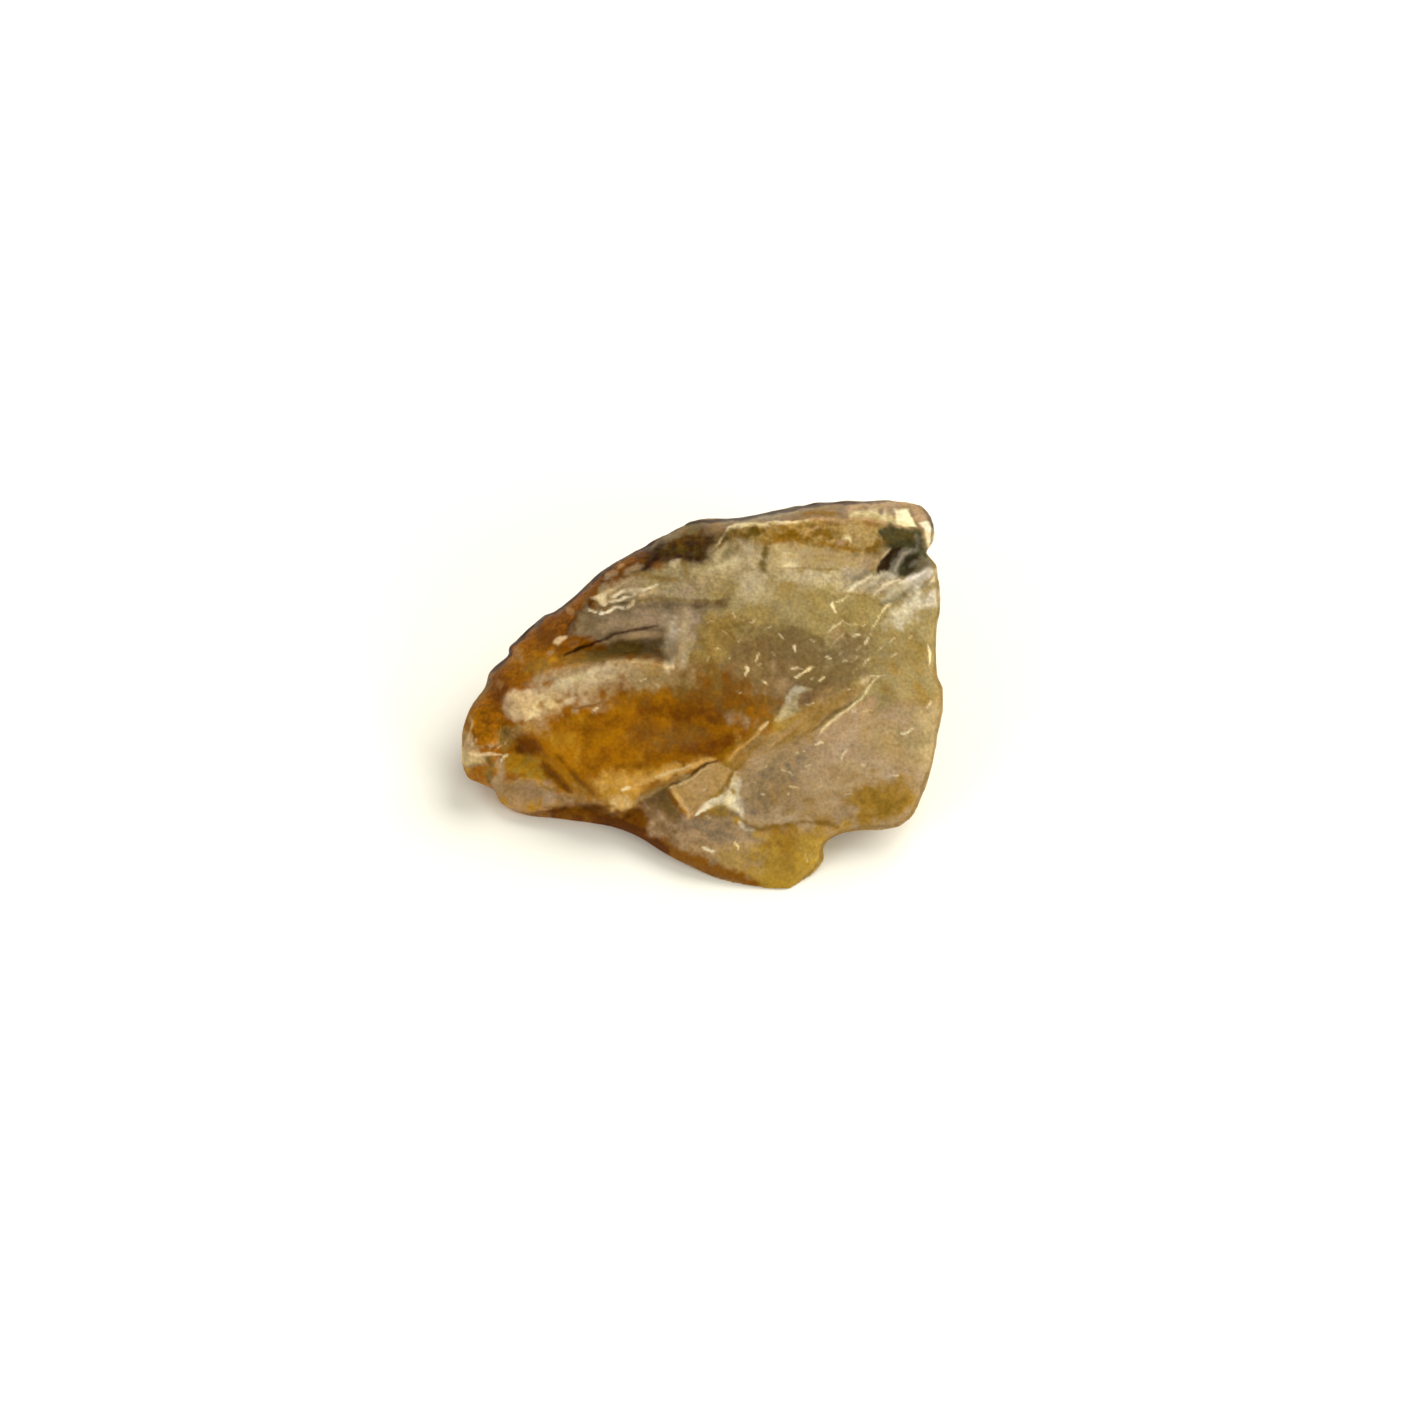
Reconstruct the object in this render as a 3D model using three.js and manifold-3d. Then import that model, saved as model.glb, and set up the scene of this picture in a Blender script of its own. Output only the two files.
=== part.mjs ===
// A rough piece of agate, broken on every side, as one solid in millimetres.
//
// The stone is shaped square on to its broad side, the side that lies uppermost. There `across` runs to the
// right, `up` runs towards the crest and `out` runs out of the stone. The block is then leaned back by LEAN,
// so that the broad side slopes up from the floor, and broken away round its back and underneath. The
// finished solid lies on a flat face at z = 0.

import * as THREE from "three";
import { mergeVertices } from "three/addons/utils/BufferGeometryUtils.js";
import Module from "manifold-3d";

const LEAN = THREE.MathUtils.degToRad(55); // how far above the horizon the broad side's `out` points
const BLOCK = { width: 36, height: 30, depth: 24 }; // the block before it is broken
const CELL = 0.58; // spacing of the broad side's surface points
const SNAP = 0.4 * CELL; // how far such a point moves to lie on an edge
const ROUNDING = 0.8; // how far in from the outline the broad side rolls over
const GIRDLE = 3; // how far out the walls begin to close in
const TAPER = 0.7; // the outline's size at the block's depth behind the girdle
const REACH = 60; // the size of what is cut away, more than the stone needs
const SPAN = 12; // the distance over which a break bows by its `bow`
const OUTER_FACE = 4; // which of a BoxGeometry's six groups faces out

const wasm = await Module();
wasm.setup();

// The outline of the broad side, as [across, up], clockwise from the left tip.
const OUTLINE = [
  [-16.7, -3.1], [-16.1, -0.8], [-15.0, 0.9], [-14.7, 1.9], [-13.3, 3.2], [-13.3, 3.7], [-11.9, 5.0],
  [-11.1, 5.8], [-10.2, 6.1], [-8.0, 7.9], [-7.0, 8.9], [-5.6, 10.0], [-3.8, 10.7], [-3.0, 11.4],
  [-1.4, 12.2], [0.0, 12.6], [2.8, 12.7], [5.6, 13.3], [8.4, 13.8], [11.9, 14.0], [15.0, 14.2],
  [15.8, 13.7], [16.4, 12.2], [16.2, 11.1], [15.8, 10.4], [16.4, 9.5], [16.7, 8.4], [16.7, 6.3],
  [16.5, 5.4], [16.5, 1.8], [17.0, 0.4], [16.5, -2.4], [16.0, -5.0], [15.2, -7.2], [14.6, -8.3],
  [13.6, -8.8], [11.2, -9.0], [9.9, -9.5], [9.0, -9.9], [8.6, -10.4], [8.5, -11.2], [7.1, -12.7],
  [6.5, -13.4], [5.9, -13.6], [4.6, -13.4], [2.4, -12.8], [0.0, -11.8], [-2.4, -10.6], [-4.2, -9.5],
  [-6.0, -8.8], [-9.8, -8.2], [-11.9, -8.0], [-13.2, -7.6], [-14.0, -7.0], [-14.4, -6.2], [-15.4, -5.7],
  [-16.2, -5.3],
];

// Lines on the broad side where two faces meet, as [across, up].
const AMBER_TIP = [-13.8, -0.6];
const AMBER_CREST = [
  [-12.9, 0.9], [-11.4, 1.8], [-9.8, 2.3], [-7.7, 2.7], [-5.6, 2.85], [-3.5, 2.75], [-2.0, 2.3],
];
const AMBER_FADE = [[1.4, 0.9], [4.9, -1.1]];
const AMBER_RIGHT_RIM = [[3.2, -2.9], [1.4, -4.2], [-2.2, -5.7]];
const AMBER_FOOT = [[-4.2, -6.4], [-5.0, -7.4], [-5.7, -7.7], [-6.6, -7.4]];
const AMBER_LEFT_RIM = [[-7.7, -6.4], [-8.8, -5.4], [-10.9, -3.7], [-11.9, -2.6], [-13.0, -1.6]];
const CHIP_EDGE = [[-0.9, -8.3], [0.2, -7.7], [1.4, -7.4]];
const LOBE_TOP = [
  [2.1, -6.7], [2.5, -5.6], [3.2, -4.8], [4.9, -4.0], [7.0, -2.8], [9.1, -1.4], [11.3, 0.1],
];
const LOBE_FOOT = [
  [2.2, -8.3], [2.9, -8.8], [4.0, -9.1], [5.3, -8.9], [7.0, -8.6], [8.8, -8.7], [10.2, -9.0], [11.5, -9.3],
];
const SLOPE_RIDGE = [
  [-13.4, 0.6], [-12.4, 1.8], [-10.9, 3.1], [-10.0, 4.1], [-9.0, 5.0], [-8.3, 6.2], [-7.6, 7.2], [-6.2, 7.8],
  [-4.2, 8.7], [-2.5, 9.4], [0.0, 9.9], [1.5, 10.9],
];
const TOP_RIDGE = [
  [1.5, 10.9], [2.0, 11.6], [3.2, 12.2], [5.3, 12.4], [8.4, 12.7], [10.5, 12.7], [12.6, 12.5], [14.8, 12.1],
  [15.8, 11.8],
];
const SCAR_END = [[-1.7, 4.4], [-1.5, 3.1], [-2.0, 2.3]];

const polygon = (...lines) => lines.flat().map(([x, y]) => new THREE.Vector2(x, y));
const backwards = (line) => [...line].reverse();

// The broad side before anything broke off it: a gentle dome, lower towards the crest and the left tip. A
// bowed face passes through `at` at the height `out`, with a slope and a bow across and up.
const dome = { at: [6.3, 4.2], out: 8.7, slope: [-0.05, -0.2], bow: [-0.6, -0.9] };

// Bevels: inside its polygon, the surface falls away from the polygon's edge at a steady slope.
const bevels = [
  { name: "top bevel", fall: 1.3, within: polygon(TOP_RIDGE, [[24, 11], [24, 30], [-12, 30]]) },
  {
    name: "left slope",
    fall: 0.95,
    within: polygon([AMBER_TIP], SLOPE_RIDGE, [[1.2, 30], [-30, 30], [-30, -0.6]]),
  },
];

// Swells and ledges: inside its polygon, the surface steps up or down by `step` across `width`.
const steps = [
  {
    name: "right lobe",
    step: 0.9,
    width: 3.0,
    within: polygon(LOBE_TOP, [[12.6, 2.4], [24, 3], [24, -12], [16, -12]], backwards(LOBE_FOOT)),
  },
  {
    name: "band beside the lobe",
    step: -0.45,
    width: 0.5,
    within: polygon(CHIP_EDGE, LOBE_TOP, [[8.0, 0.6]], AMBER_FADE.slice(1), AMBER_RIGHT_RIM),
  },
  {
    name: "shallow flake",
    step: -0.25,
    width: 0.45,
    within: polygon([
      [0.6, 3.6], [1.2, 5.0], [2.6, 5.6], [4.6, 5.3], [6.2, 5.1], [8.4, 4.5], [10.0, 3.0], [9.0, 0.5],
      [5.2, -0.4], [2.4, 0.6],
    ]),
  },
];

// Scars: each is the hollow that a flake left. From its lip, a wall drops at the slope `wall` to a bowed
// face.
const scars = [
  {
    name: "left scar",
    at: [-5.0, 5.0], out: 7.5, slope: [0.02, 0.0], bow: [0.2, 0.2],
    wall: 0.8,
    lip: polygon(SCAR_END, backwards(AMBER_CREST.slice(1, 6)), [
      [-10.9, 3.1], [-10.0, 4.1], [-9.0, 5.0], [-8.3, 6.2], [-7.6, 7.2], [-5.6, 7.3], [-3.5, 7.5],
      [-1.6, 7.1], [-1.0, 6.0],
    ]),
  },
  {
    name: "middle ledge of the left scar",
    at: [-5.0, 4.0], out: 7.0, slope: [0.03, 0.1], bow: [0.2, 0.2],
    wall: 1.8,
    lip: polygon(SCAR_END, backwards(AMBER_CREST.slice(2, 6)), [
      [-10.3, 3.1], [-7.7, 4.1], [-5.6, 5.0], [-2.5, 5.1],
    ]),
  },
  {
    name: "window of the left scar",
    at: [-4.5, 3.5], out: 6.4, slope: [0, 0.1], bow: [0.3, 0.3],
    wall: 2.2,
    lip: polygon(SCAR_END, backwards(AMBER_CREST.slice(3, 6)), [[-8.4, 3.2], [-6.7, 4.0], [-4.2, 4.4]]),
  },
  {
    name: "amber scar",
    at: [-5.0, -1.8], out: 8.25, slope: [0.0, -0.2], bow: [0.5, 2.0],
    wall: 0.45,
    lip: polygon([AMBER_TIP], AMBER_CREST, AMBER_FADE, AMBER_RIGHT_RIM, AMBER_FOOT, AMBER_LEFT_RIM),
  },
  {
    name: "flat chip",
    at: [0.1, -6.2], out: 9.1, slope: [0.1, -0.05], bow: [0, 0],
    wall: 2.0,
    lip: polygon(CHIP_EDGE, [[2.5, -4.9]], AMBER_RIGHT_RIM.slice(1)),
  },
  {
    name: "olive facet",
    at: [-12.0, -4.5], out: 7.6, slope: [0.12, -0.1], bow: [0, 0.5],
    wall: 1.4,
    lip: polygon(AMBER_FOOT.slice(-1), AMBER_LEFT_RIM, [AMBER_TIP], [
      [-14.4, -1.8], [-14.6, -3.4], [-14.8, -5.4], [-15.0, -12], [-8, -12],
    ]),
  },
  {
    name: "lower shelf",
    at: [3.4, -9.0], out: 9.7, slope: [0.12, -0.24], bow: [-0.1, -0.6],
    wall: 2.4,
    lip: polygon(
      [[-24, -6], [-15.0, -6.1], [-13.8, -5.4], [-12.0, -5.6], [-10.4, -6.2], [-8.4, -6.9]],
      backwards(AMBER_FOOT),
      AMBER_RIGHT_RIM.slice(2),
      CHIP_EDGE,
      LOBE_FOOT,
      [[13, -13], [12, -24], [-24, -24]],
    ),
  },
  {
    name: "corner pit",
    at: [14.2, 9.6], out: 5.6, slope: [-0.1, 0], bow: [6, 6],
    wall: 1.3,
    lip: polygon([
      [12.4, 8.4], [12.5, 9.9], [13.4, 11.0], [14.5, 11.5], [15.8, 11.4], [16.3, 10.4], [15.9, 9.0],
      [14.6, 8.3],
    ]),
  },
];

// Breaks: the faces round the back and underneath, placed on the stone as it lies. Each has a place on it
// and its outward direction. A positive bow is a rounded face and a negative one is a hollow, so the last
// ones are the shallow bowls of single flakes.
const breaks = [
  { name: "back", at: [12.0, 9.9, 11.0], facing: [-0.13, 1, 0.3], bow: 0.2 },
  { name: "lower back", at: [6.0, 9.45, 5.5], facing: [0.02, 1, -0.25], bow: 0.3 },
  { name: "left back", at: [-8.4, 4.0, 7.0], facing: [-0.55, 1, 0.1], bow: -0.5 },
  { name: "left", at: [-15.0, -1.4, 3.2], facing: [-1, 0.7, -0.6], bow: 0.4 },
  { name: "left underside", at: [-14.8, -8.6, 0.6], facing: [-0.5, -0.4, -1], bow: -0.3 },
  { name: "front underside", at: [-6.0, -12.2, -0.4], facing: [-0.08, -0.3, -1], bow: 0.1 },
  { name: "right", at: [16.4, 0.0, 6.0], facing: [1, 0.15, -0.2], bow: -0.5 },
  { name: "lower right", at: [15.4, -8.6, 2.4], facing: [0.9, -0.3, -0.8], bow: 0.4 },
  { name: "right underside", at: [12.0, -12.9, 1.5], facing: [0.35, -0.1, -1], bow: -0.3 },
  { name: "upper back flake", at: [11.5, 9.75, 7.4], facing: [0.2, 1, -0.2], bow: -3.2 },
  { name: "middle back flake", at: [1.0, 8.0, 5.8], facing: [-0.35, 1, -0.2], bow: -2.4 },
  { name: "back foot flake", at: [7.0, 7.2, 1.4], facing: [0.05, 1, -0.7], bow: -3.5 },
  { name: "left back flake", at: [-9.5, 2.4, 3.6], facing: [-0.6, 1, -0.4], bow: -3.0 },
  { name: "upper left flake", at: [-11.2, 1.9, 5.6], facing: [-0.7, 1, 0.0], bow: -2.4 },
  { name: "left foot flake", at: [-13.6, -3.4, 1.2], facing: [-1, 0.5, -0.7], bow: -3.0 },
  { name: "right back flake", at: [15.6, 4.2, 5.0], facing: [1, 0.5, -0.4], bow: -3.0 },
  { name: "right flake", at: [15.4, -3.0, 3.2], facing: [1, 0.0, -0.45], bow: -2.6 },
  { name: "right foot flake", at: [14.0, 2.8, 1.0], facing: [0.8, 0.3, -0.8], bow: -3.0 },
];

// The point of a closed line that is nearest to (x, y), its distance, and whether (x, y) is inside the line.
function nearestOn(line, x, y) {
  const nearest = { gap: Infinity, x, y, inside: false };
  for (let i = 0, j = line.length - 1; i < line.length; j = i, i += 1) {
    const a = line[j];
    const b = line[i];
    const dx = b.x - a.x;
    const dy = b.y - a.y;
    const t = THREE.MathUtils.clamp(((x - a.x) * dx + (y - a.y) * dy) / (dx * dx + dy * dy), 0, 1);
    const onLine = { x: a.x + t * dx, y: a.y + t * dy };
    const gap = Math.hypot(x - onLine.x, y - onLine.y);
    if (gap < nearest.gap) Object.assign(nearest, onLine, { gap });
    if (a.y > y !== b.y > y && x < a.x + ((y - a.y) * dx) / dy) nearest.inside = !nearest.inside;
  }
  return nearest;
}

// How far a point lies inside a closed line (positive) or outside it (negative).
function insideBy(line, x, y) {
  const { gap, inside } = nearestOn(line, x, y);
  return inside ? gap : -gap;
}

// The height of a bowed face. A bow is what the face gains 10 mm from its middle.
function bowedFace({ at, out, slope, bow }, x, y) {
  const dx = x - at[0];
  const dy = y - at[1];
  return out + slope[0] * dx + slope[1] * dy + (bow[0] * dx * dx + bow[1] * dy * dy) / 100;
}

const outlineCurve = new THREE.CatmullRomCurve3(
  OUTLINE.map(([x, y]) => new THREE.Vector3(x, y, 0)),
  true,
  "centripetal",
);
const outline = outlineCurve
  .getPoints(OUTLINE.length * 2)
  .slice(1)
  .map(({ x, y }) => new THREE.Vector2(x, y));

// The height of the broad side.
function surface(x, y) {
  let out = bowedFace(dome, x, y);
  for (const { within, fall } of bevels) out -= fall * Math.max(0, insideBy(within, x, y));
  for (const { within, step, width } of steps) {
    out += step * THREE.MathUtils.smoothstep(insideBy(within, x, y), 0, width);
  }
  for (const scar of scars) {
    const drop = scar.wall * Math.max(0, insideBy(scar.lip, x, y));
    if (drop > 0) out = Math.min(out, Math.max(out - drop, bowedFace(scar, x, y)));
  }
  const fromEdge = THREE.MathUtils.clamp(insideBy(outline, x, y) / ROUNDING, 0, 1);
  return out - ROUNDING * (1 - Math.sqrt(1 - (1 - fromEdge) ** 2));
}

function solidFrom(geometry) {
  const plain = geometry.clone();
  plain.deleteAttribute("normal");
  plain.deleteAttribute("uv");
  const merged = mergeVertices(plain, 1e-4);
  const mesh = new wasm.Mesh({
    numProp: 3,
    vertProperties: merged.attributes.position.array,
    triVerts: new Uint32Array(merged.index.array),
  });
  return new wasm.Manifold(mesh);
}

function geometryFrom(solid) {
  const { vertProperties, triVerts } = solid.getMesh();
  const geometry = new THREE.BufferGeometry();
  geometry.setAttribute("position", new THREE.BufferAttribute(vertProperties, 3));
  return geometry.setIndex(new THREE.BufferAttribute(triVerts, 1));
}

// Moves a surface point that is close to an edge of the relief onto it, so that the edge stays crisp.
const edges = [...scars.map(({ lip }) => lip), ...bevels.map(({ within }) => within)];
function snapped(x, y) {
  const [nearest] = edges.map((line) => nearestOn(line, x, y)).sort((a, b) => a.gap - b.gap);
  return nearest.gap < SNAP ? [nearest.x, nearest.y] : [x, y];
}

// Turns the diagonal of each square of the outer face the way that follows the surface better.
function fitDiagonals(block) {
  const { index, groups } = block;
  const { position } = block.attributes;
  const misfit = (i, j) => {
    const from = new THREE.Vector3().fromBufferAttribute(position, i);
    const middle = new THREE.Vector3().fromBufferAttribute(position, j).lerp(from, 0.5);
    return Math.abs(surface(middle.x, middle.y) - middle.z);
  };
  const { start, count } = groups[OUTER_FACE];
  for (let i = start; i < start + count; i += 6) {
    const [a, b, d, , c] = index.array.slice(i, i + 6);
    if (misfit(a, c) < misfit(b, d)) index.array.set([a, b, c, a, c, d], i);
  }
}

// A block whose outer face is the broad side's surface.
function reliefBlock() {
  const { width, height, depth } = BLOCK;
  const block = new THREE.BoxGeometry(
    width,
    height,
    depth,
    Math.round(width / CELL),
    Math.round(height / CELL),
  );
  const { position } = block.attributes;
  for (let i = 0; i < position.count; i += 1) {
    if (position.getZ(i) > 0) {
      const [x, y] = snapped(position.getX(i), position.getY(i));
      position.setXYZ(i, x, y, surface(x, y));
    }
  }
  fitDiagonals(block);
  return solidFrom(block);
}

// The outline's walls: straight in front of the girdle, and closing in behind it.
function outlinePrism() {
  const prism = new THREE.ExtrudeGeometry(new THREE.Shape(outline), {
    depth: 2 * BLOCK.depth,
    steps: 2,
    bevelEnabled: false,
  });
  prism.translate(0, 0, GIRDLE - BLOCK.depth);
  const { position } = prism.attributes;
  for (let i = 0; i < position.count; i += 1) {
    const scale = position.getZ(i) < 0 ? TAPER : 1;
    position.setXY(i, position.getX(i) * scale, position.getY(i) * scale);
  }
  return solidFrom(prism);
}

// What a break takes away: a round bit with a bowed end, whose axis is the face's outward direction.
function breakBit({ at, facing, bow }) {
  const [rings, segments] = [10, 28];
  const radius = REACH / 2;
  const profile = [];
  for (let i = 0; i <= rings; i += 1) {
    const r = radius * (i / rings) ** 2;
    profile.push(new THREE.Vector2(r, -bow * (r / SPAN) ** 2));
  }
  profile.push(new THREE.Vector2(radius, REACH), new THREE.Vector2(0, REACH));
  const bit = new THREE.LatheGeometry(profile, segments);
  const axis = new THREE.Vector3(...facing).normalize();
  const turn = new THREE.Quaternion().setFromUnitVectors(new THREE.Vector3(0, 1, 0), axis);
  return solidFrom(bit.applyQuaternion(turn).translate(...at));
}

// The stone as it lies.
function stoneGeometry() {
  const block = geometryFrom(reliefBlock().intersect(outlinePrism()));
  let solid = solidFrom(block.rotateX(Math.PI / 2 - LEAN));
  for (const face of breaks) solid = solid.subtract(breakBit(face));
  const below = new THREE.BoxGeometry(REACH, REACH, REACH).translate(0, 0, -REACH / 2);
  return geometryFrom(solid.subtract(solidFrom(below)));
}

const agate = new THREE.Mesh(
  stoneGeometry(),
  new THREE.MeshStandardMaterial({ color: 0x9c7a42, roughness: 0.4, metalness: 0 }),
);
agate.name = "agate";

const stone = new THREE.Group();
stone.add(agate);

export default stone;
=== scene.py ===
"""A rough agate fragment on a pale floor.

The stone is shaped again here from the same faces as its CAD solid, finely enough to carry its small
ledges, cracks and ripples. Only the notch of its outline under the lobe is a little fuller. Its colours are
markings placed on the broad side and zones all through the stone. Lengths are in millimetres until the
mesh is made. The broad side has its own axes: across to the right, up towards the crest and out of the
stone.
"""

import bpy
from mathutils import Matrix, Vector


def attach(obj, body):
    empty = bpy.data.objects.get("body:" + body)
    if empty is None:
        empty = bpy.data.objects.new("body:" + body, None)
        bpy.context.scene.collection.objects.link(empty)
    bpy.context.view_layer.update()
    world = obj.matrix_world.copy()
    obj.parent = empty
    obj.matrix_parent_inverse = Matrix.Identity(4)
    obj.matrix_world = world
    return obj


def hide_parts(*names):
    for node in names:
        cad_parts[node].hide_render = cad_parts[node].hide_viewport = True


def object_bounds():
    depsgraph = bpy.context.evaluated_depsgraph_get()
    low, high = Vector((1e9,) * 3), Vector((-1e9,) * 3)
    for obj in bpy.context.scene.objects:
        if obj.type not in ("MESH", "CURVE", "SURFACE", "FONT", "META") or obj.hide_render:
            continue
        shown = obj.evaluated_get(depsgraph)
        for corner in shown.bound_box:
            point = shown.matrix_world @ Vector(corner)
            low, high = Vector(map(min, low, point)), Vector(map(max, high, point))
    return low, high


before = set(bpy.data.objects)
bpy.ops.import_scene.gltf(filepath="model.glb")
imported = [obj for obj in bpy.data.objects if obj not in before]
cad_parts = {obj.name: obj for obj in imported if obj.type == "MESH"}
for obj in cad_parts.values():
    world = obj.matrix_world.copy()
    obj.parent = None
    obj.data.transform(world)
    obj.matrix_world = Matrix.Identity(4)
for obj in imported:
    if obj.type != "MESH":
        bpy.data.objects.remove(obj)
cad_box = [list(corner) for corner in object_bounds()]

import itertools
import math

import bpy
import numpy as np
from mathutils import Vector

MM = 0.001
LEAN = math.radians(55)  # how far above the horizon the broad side's `out` points
# Rows of the turn from the floor's axes to the broad side's axes.
TURN = np.array([
    [1, 0, 0],
    [0, math.sin(LEAN), math.cos(LEAN)],
    [0, -math.cos(LEAN), math.sin(LEAN)],
])

# ---------------------------------------------------------------- the shape

BLOCK_DEPTH = 24  # the block before it is broken
ROUNDING = 0.8  # how far in from the outline the broad side rolls over
GIRDLE = 3  # how far out the walls begin to close in
TAPER = 0.7  # the outline's size at the block's depth behind the girdle
SPAN = 12  # the distance over which a break bows by its `bow`
CELL = 0.12  # grid spacing across and up
CELL_OUT = 0.15  # grid spacing out of the stone
GROWTH = 0.13  # how far out the walls are moved, since the mesh rounds off the edges
FINE_DEPTH = 0.8  # how far below the broad side the mesh stays at its finest
MARGIN = 4 * CELL  # of the grid round the solid
BOW_PARTS = 100  # a face's bow is in hundredths of a millimetre for each square millimetre

OUTLINE = [
    (-16.7, -3.1), (-16.1, -0.8), (-15.0, 0.9), (-14.7, 1.9), (-13.3, 3.2), (-13.3, 3.7), (-11.9, 5.0),
    (-11.1, 5.8), (-10.2, 6.1), (-8.0, 7.9), (-7.0, 8.9), (-5.6, 10.0), (-3.8, 10.7), (-3.0, 11.4),
    (-1.4, 12.2), (0.0, 12.6), (2.8, 12.7), (5.6, 13.3), (8.4, 13.8), (11.9, 14.0), (15.0, 14.2),
    (15.8, 13.7), (16.4, 12.2), (16.2, 11.1), (15.8, 10.4), (16.4, 9.5), (16.7, 8.4), (16.7, 6.3),
    (16.5, 5.4), (16.5, 1.8), (17.0, 0.4), (16.5, -2.4), (16.0, -5.0), (15.2, -7.2), (14.6, -8.3),
    (13.6, -8.8), (11.2, -9.0), (9.9, -9.2), (8.9, -9.7), (8.5, -10.3), (8.5, -11.2), (7.1, -12.7),
    (6.5, -13.4), (5.9, -13.6), (4.6, -13.4), (2.4, -12.8), (0.0, -11.8), (-2.4, -10.6), (-4.2, -9.5),
    (-6.0, -8.8), (-9.8, -8.2), (-11.9, -8.0), (-13.2, -7.6), (-14.0, -7.0), (-14.4, -6.2), (-15.4, -5.7),
    (-16.2, -5.3),
]

# Lines on the broad side where two faces meet.
AMBER_TIP = [(-13.8, -0.6)]
AMBER_CREST = [
    (-12.9, 0.9), (-11.4, 1.8), (-9.8, 2.3), (-7.7, 2.7), (-5.6, 2.85), (-3.5, 2.75), (-2.0, 2.3),
]
AMBER_FADE = [(1.4, 0.9), (4.9, -1.1)]
AMBER_RIGHT_RIM = [(3.2, -2.9), (1.4, -4.2), (-2.2, -5.7)]
AMBER_FOOT = [(-4.2, -6.4), (-5.0, -7.4), (-5.7, -7.7), (-6.6, -7.4)]
AMBER_LEFT_RIM = [(-7.7, -6.4), (-8.8, -5.4), (-10.9, -3.7), (-11.9, -2.6), (-13.0, -1.6)]
CHIP_EDGE = [(-0.9, -8.3), (0.2, -7.7), (1.4, -7.4)]
LOBE_TOP = [
    (2.1, -6.7), (2.5, -5.6), (3.2, -4.8), (4.9, -4.0), (7.0, -2.8), (9.1, -1.4), (11.3, 0.1),
]
LOBE_FOOT = [
    (2.2, -8.3), (2.9, -8.8), (4.0, -9.1), (5.3, -8.9), (7.0, -8.6), (8.8, -8.7), (10.2, -9.0), (11.5, -9.3),
]
SLOPE_RIDGE = [
    (-13.4, 0.6), (-12.4, 1.8), (-10.9, 3.1), (-10.0, 4.1), (-9.0, 5.0), (-8.3, 6.2), (-7.6, 7.2),
    (-6.2, 7.8), (-4.2, 8.7), (-2.5, 9.4), (0.0, 9.9), (1.5, 10.9),
]
TOP_RIDGE = [
    (1.5, 10.9), (2.0, 11.6), (3.2, 12.2), (5.3, 12.4), (8.4, 12.7), (10.5, 12.7), (12.6, 12.5),
    (14.8, 12.1), (15.8, 11.8),
]
SCAR_END = [(-1.7, 4.4), (-1.5, 3.1), (-2.0, 2.3)]

# A bowed face passes through `at` at the height `out`, with a slope and a bow across and up.
DOME = dict(at=(6.3, 4.2), out=8.7, slope=(-0.05, -0.2), bow=(-0.6, -0.9))

# Inside its line, a bevel falls away from the line at a steady slope.
BEVELS = [
    dict(name="top bevel", fall=1.3, within=TOP_RIDGE + [(24, 11), (24, 30), (-12, 30)]),
    dict(
        name="left slope", fall=0.95,
        within=AMBER_TIP + SLOPE_RIDGE + [(1.2, 30), (-30, 30), (-30, -0.6)],
    ),
]

# Inside its line, the surface steps up or down by `step` across `width`.
STEPS = [
    dict(
        name="right lobe", step=0.9, width=3.0,
        within=LOBE_TOP + [(12.6, 2.4), (24, 3), (24, -12), (16, -12)] + LOBE_FOOT[::-1],
    ),
    dict(
        name="band beside the lobe", step=-0.45, width=0.5,
        within=CHIP_EDGE + LOBE_TOP + [(8.0, 0.6)] + AMBER_FADE[1:] + AMBER_RIGHT_RIM,
    ),
    dict(
        name="shallow flake", step=-0.25, width=0.45,
        within=[
            (0.6, 3.6), (1.2, 5.0), (2.6, 5.6), (4.6, 5.3), (6.2, 5.1), (8.4, 4.5), (10.0, 3.0), (9.0, 0.5),
            (5.2, -0.4), (2.4, 0.6),
        ],
    ),
]

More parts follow.
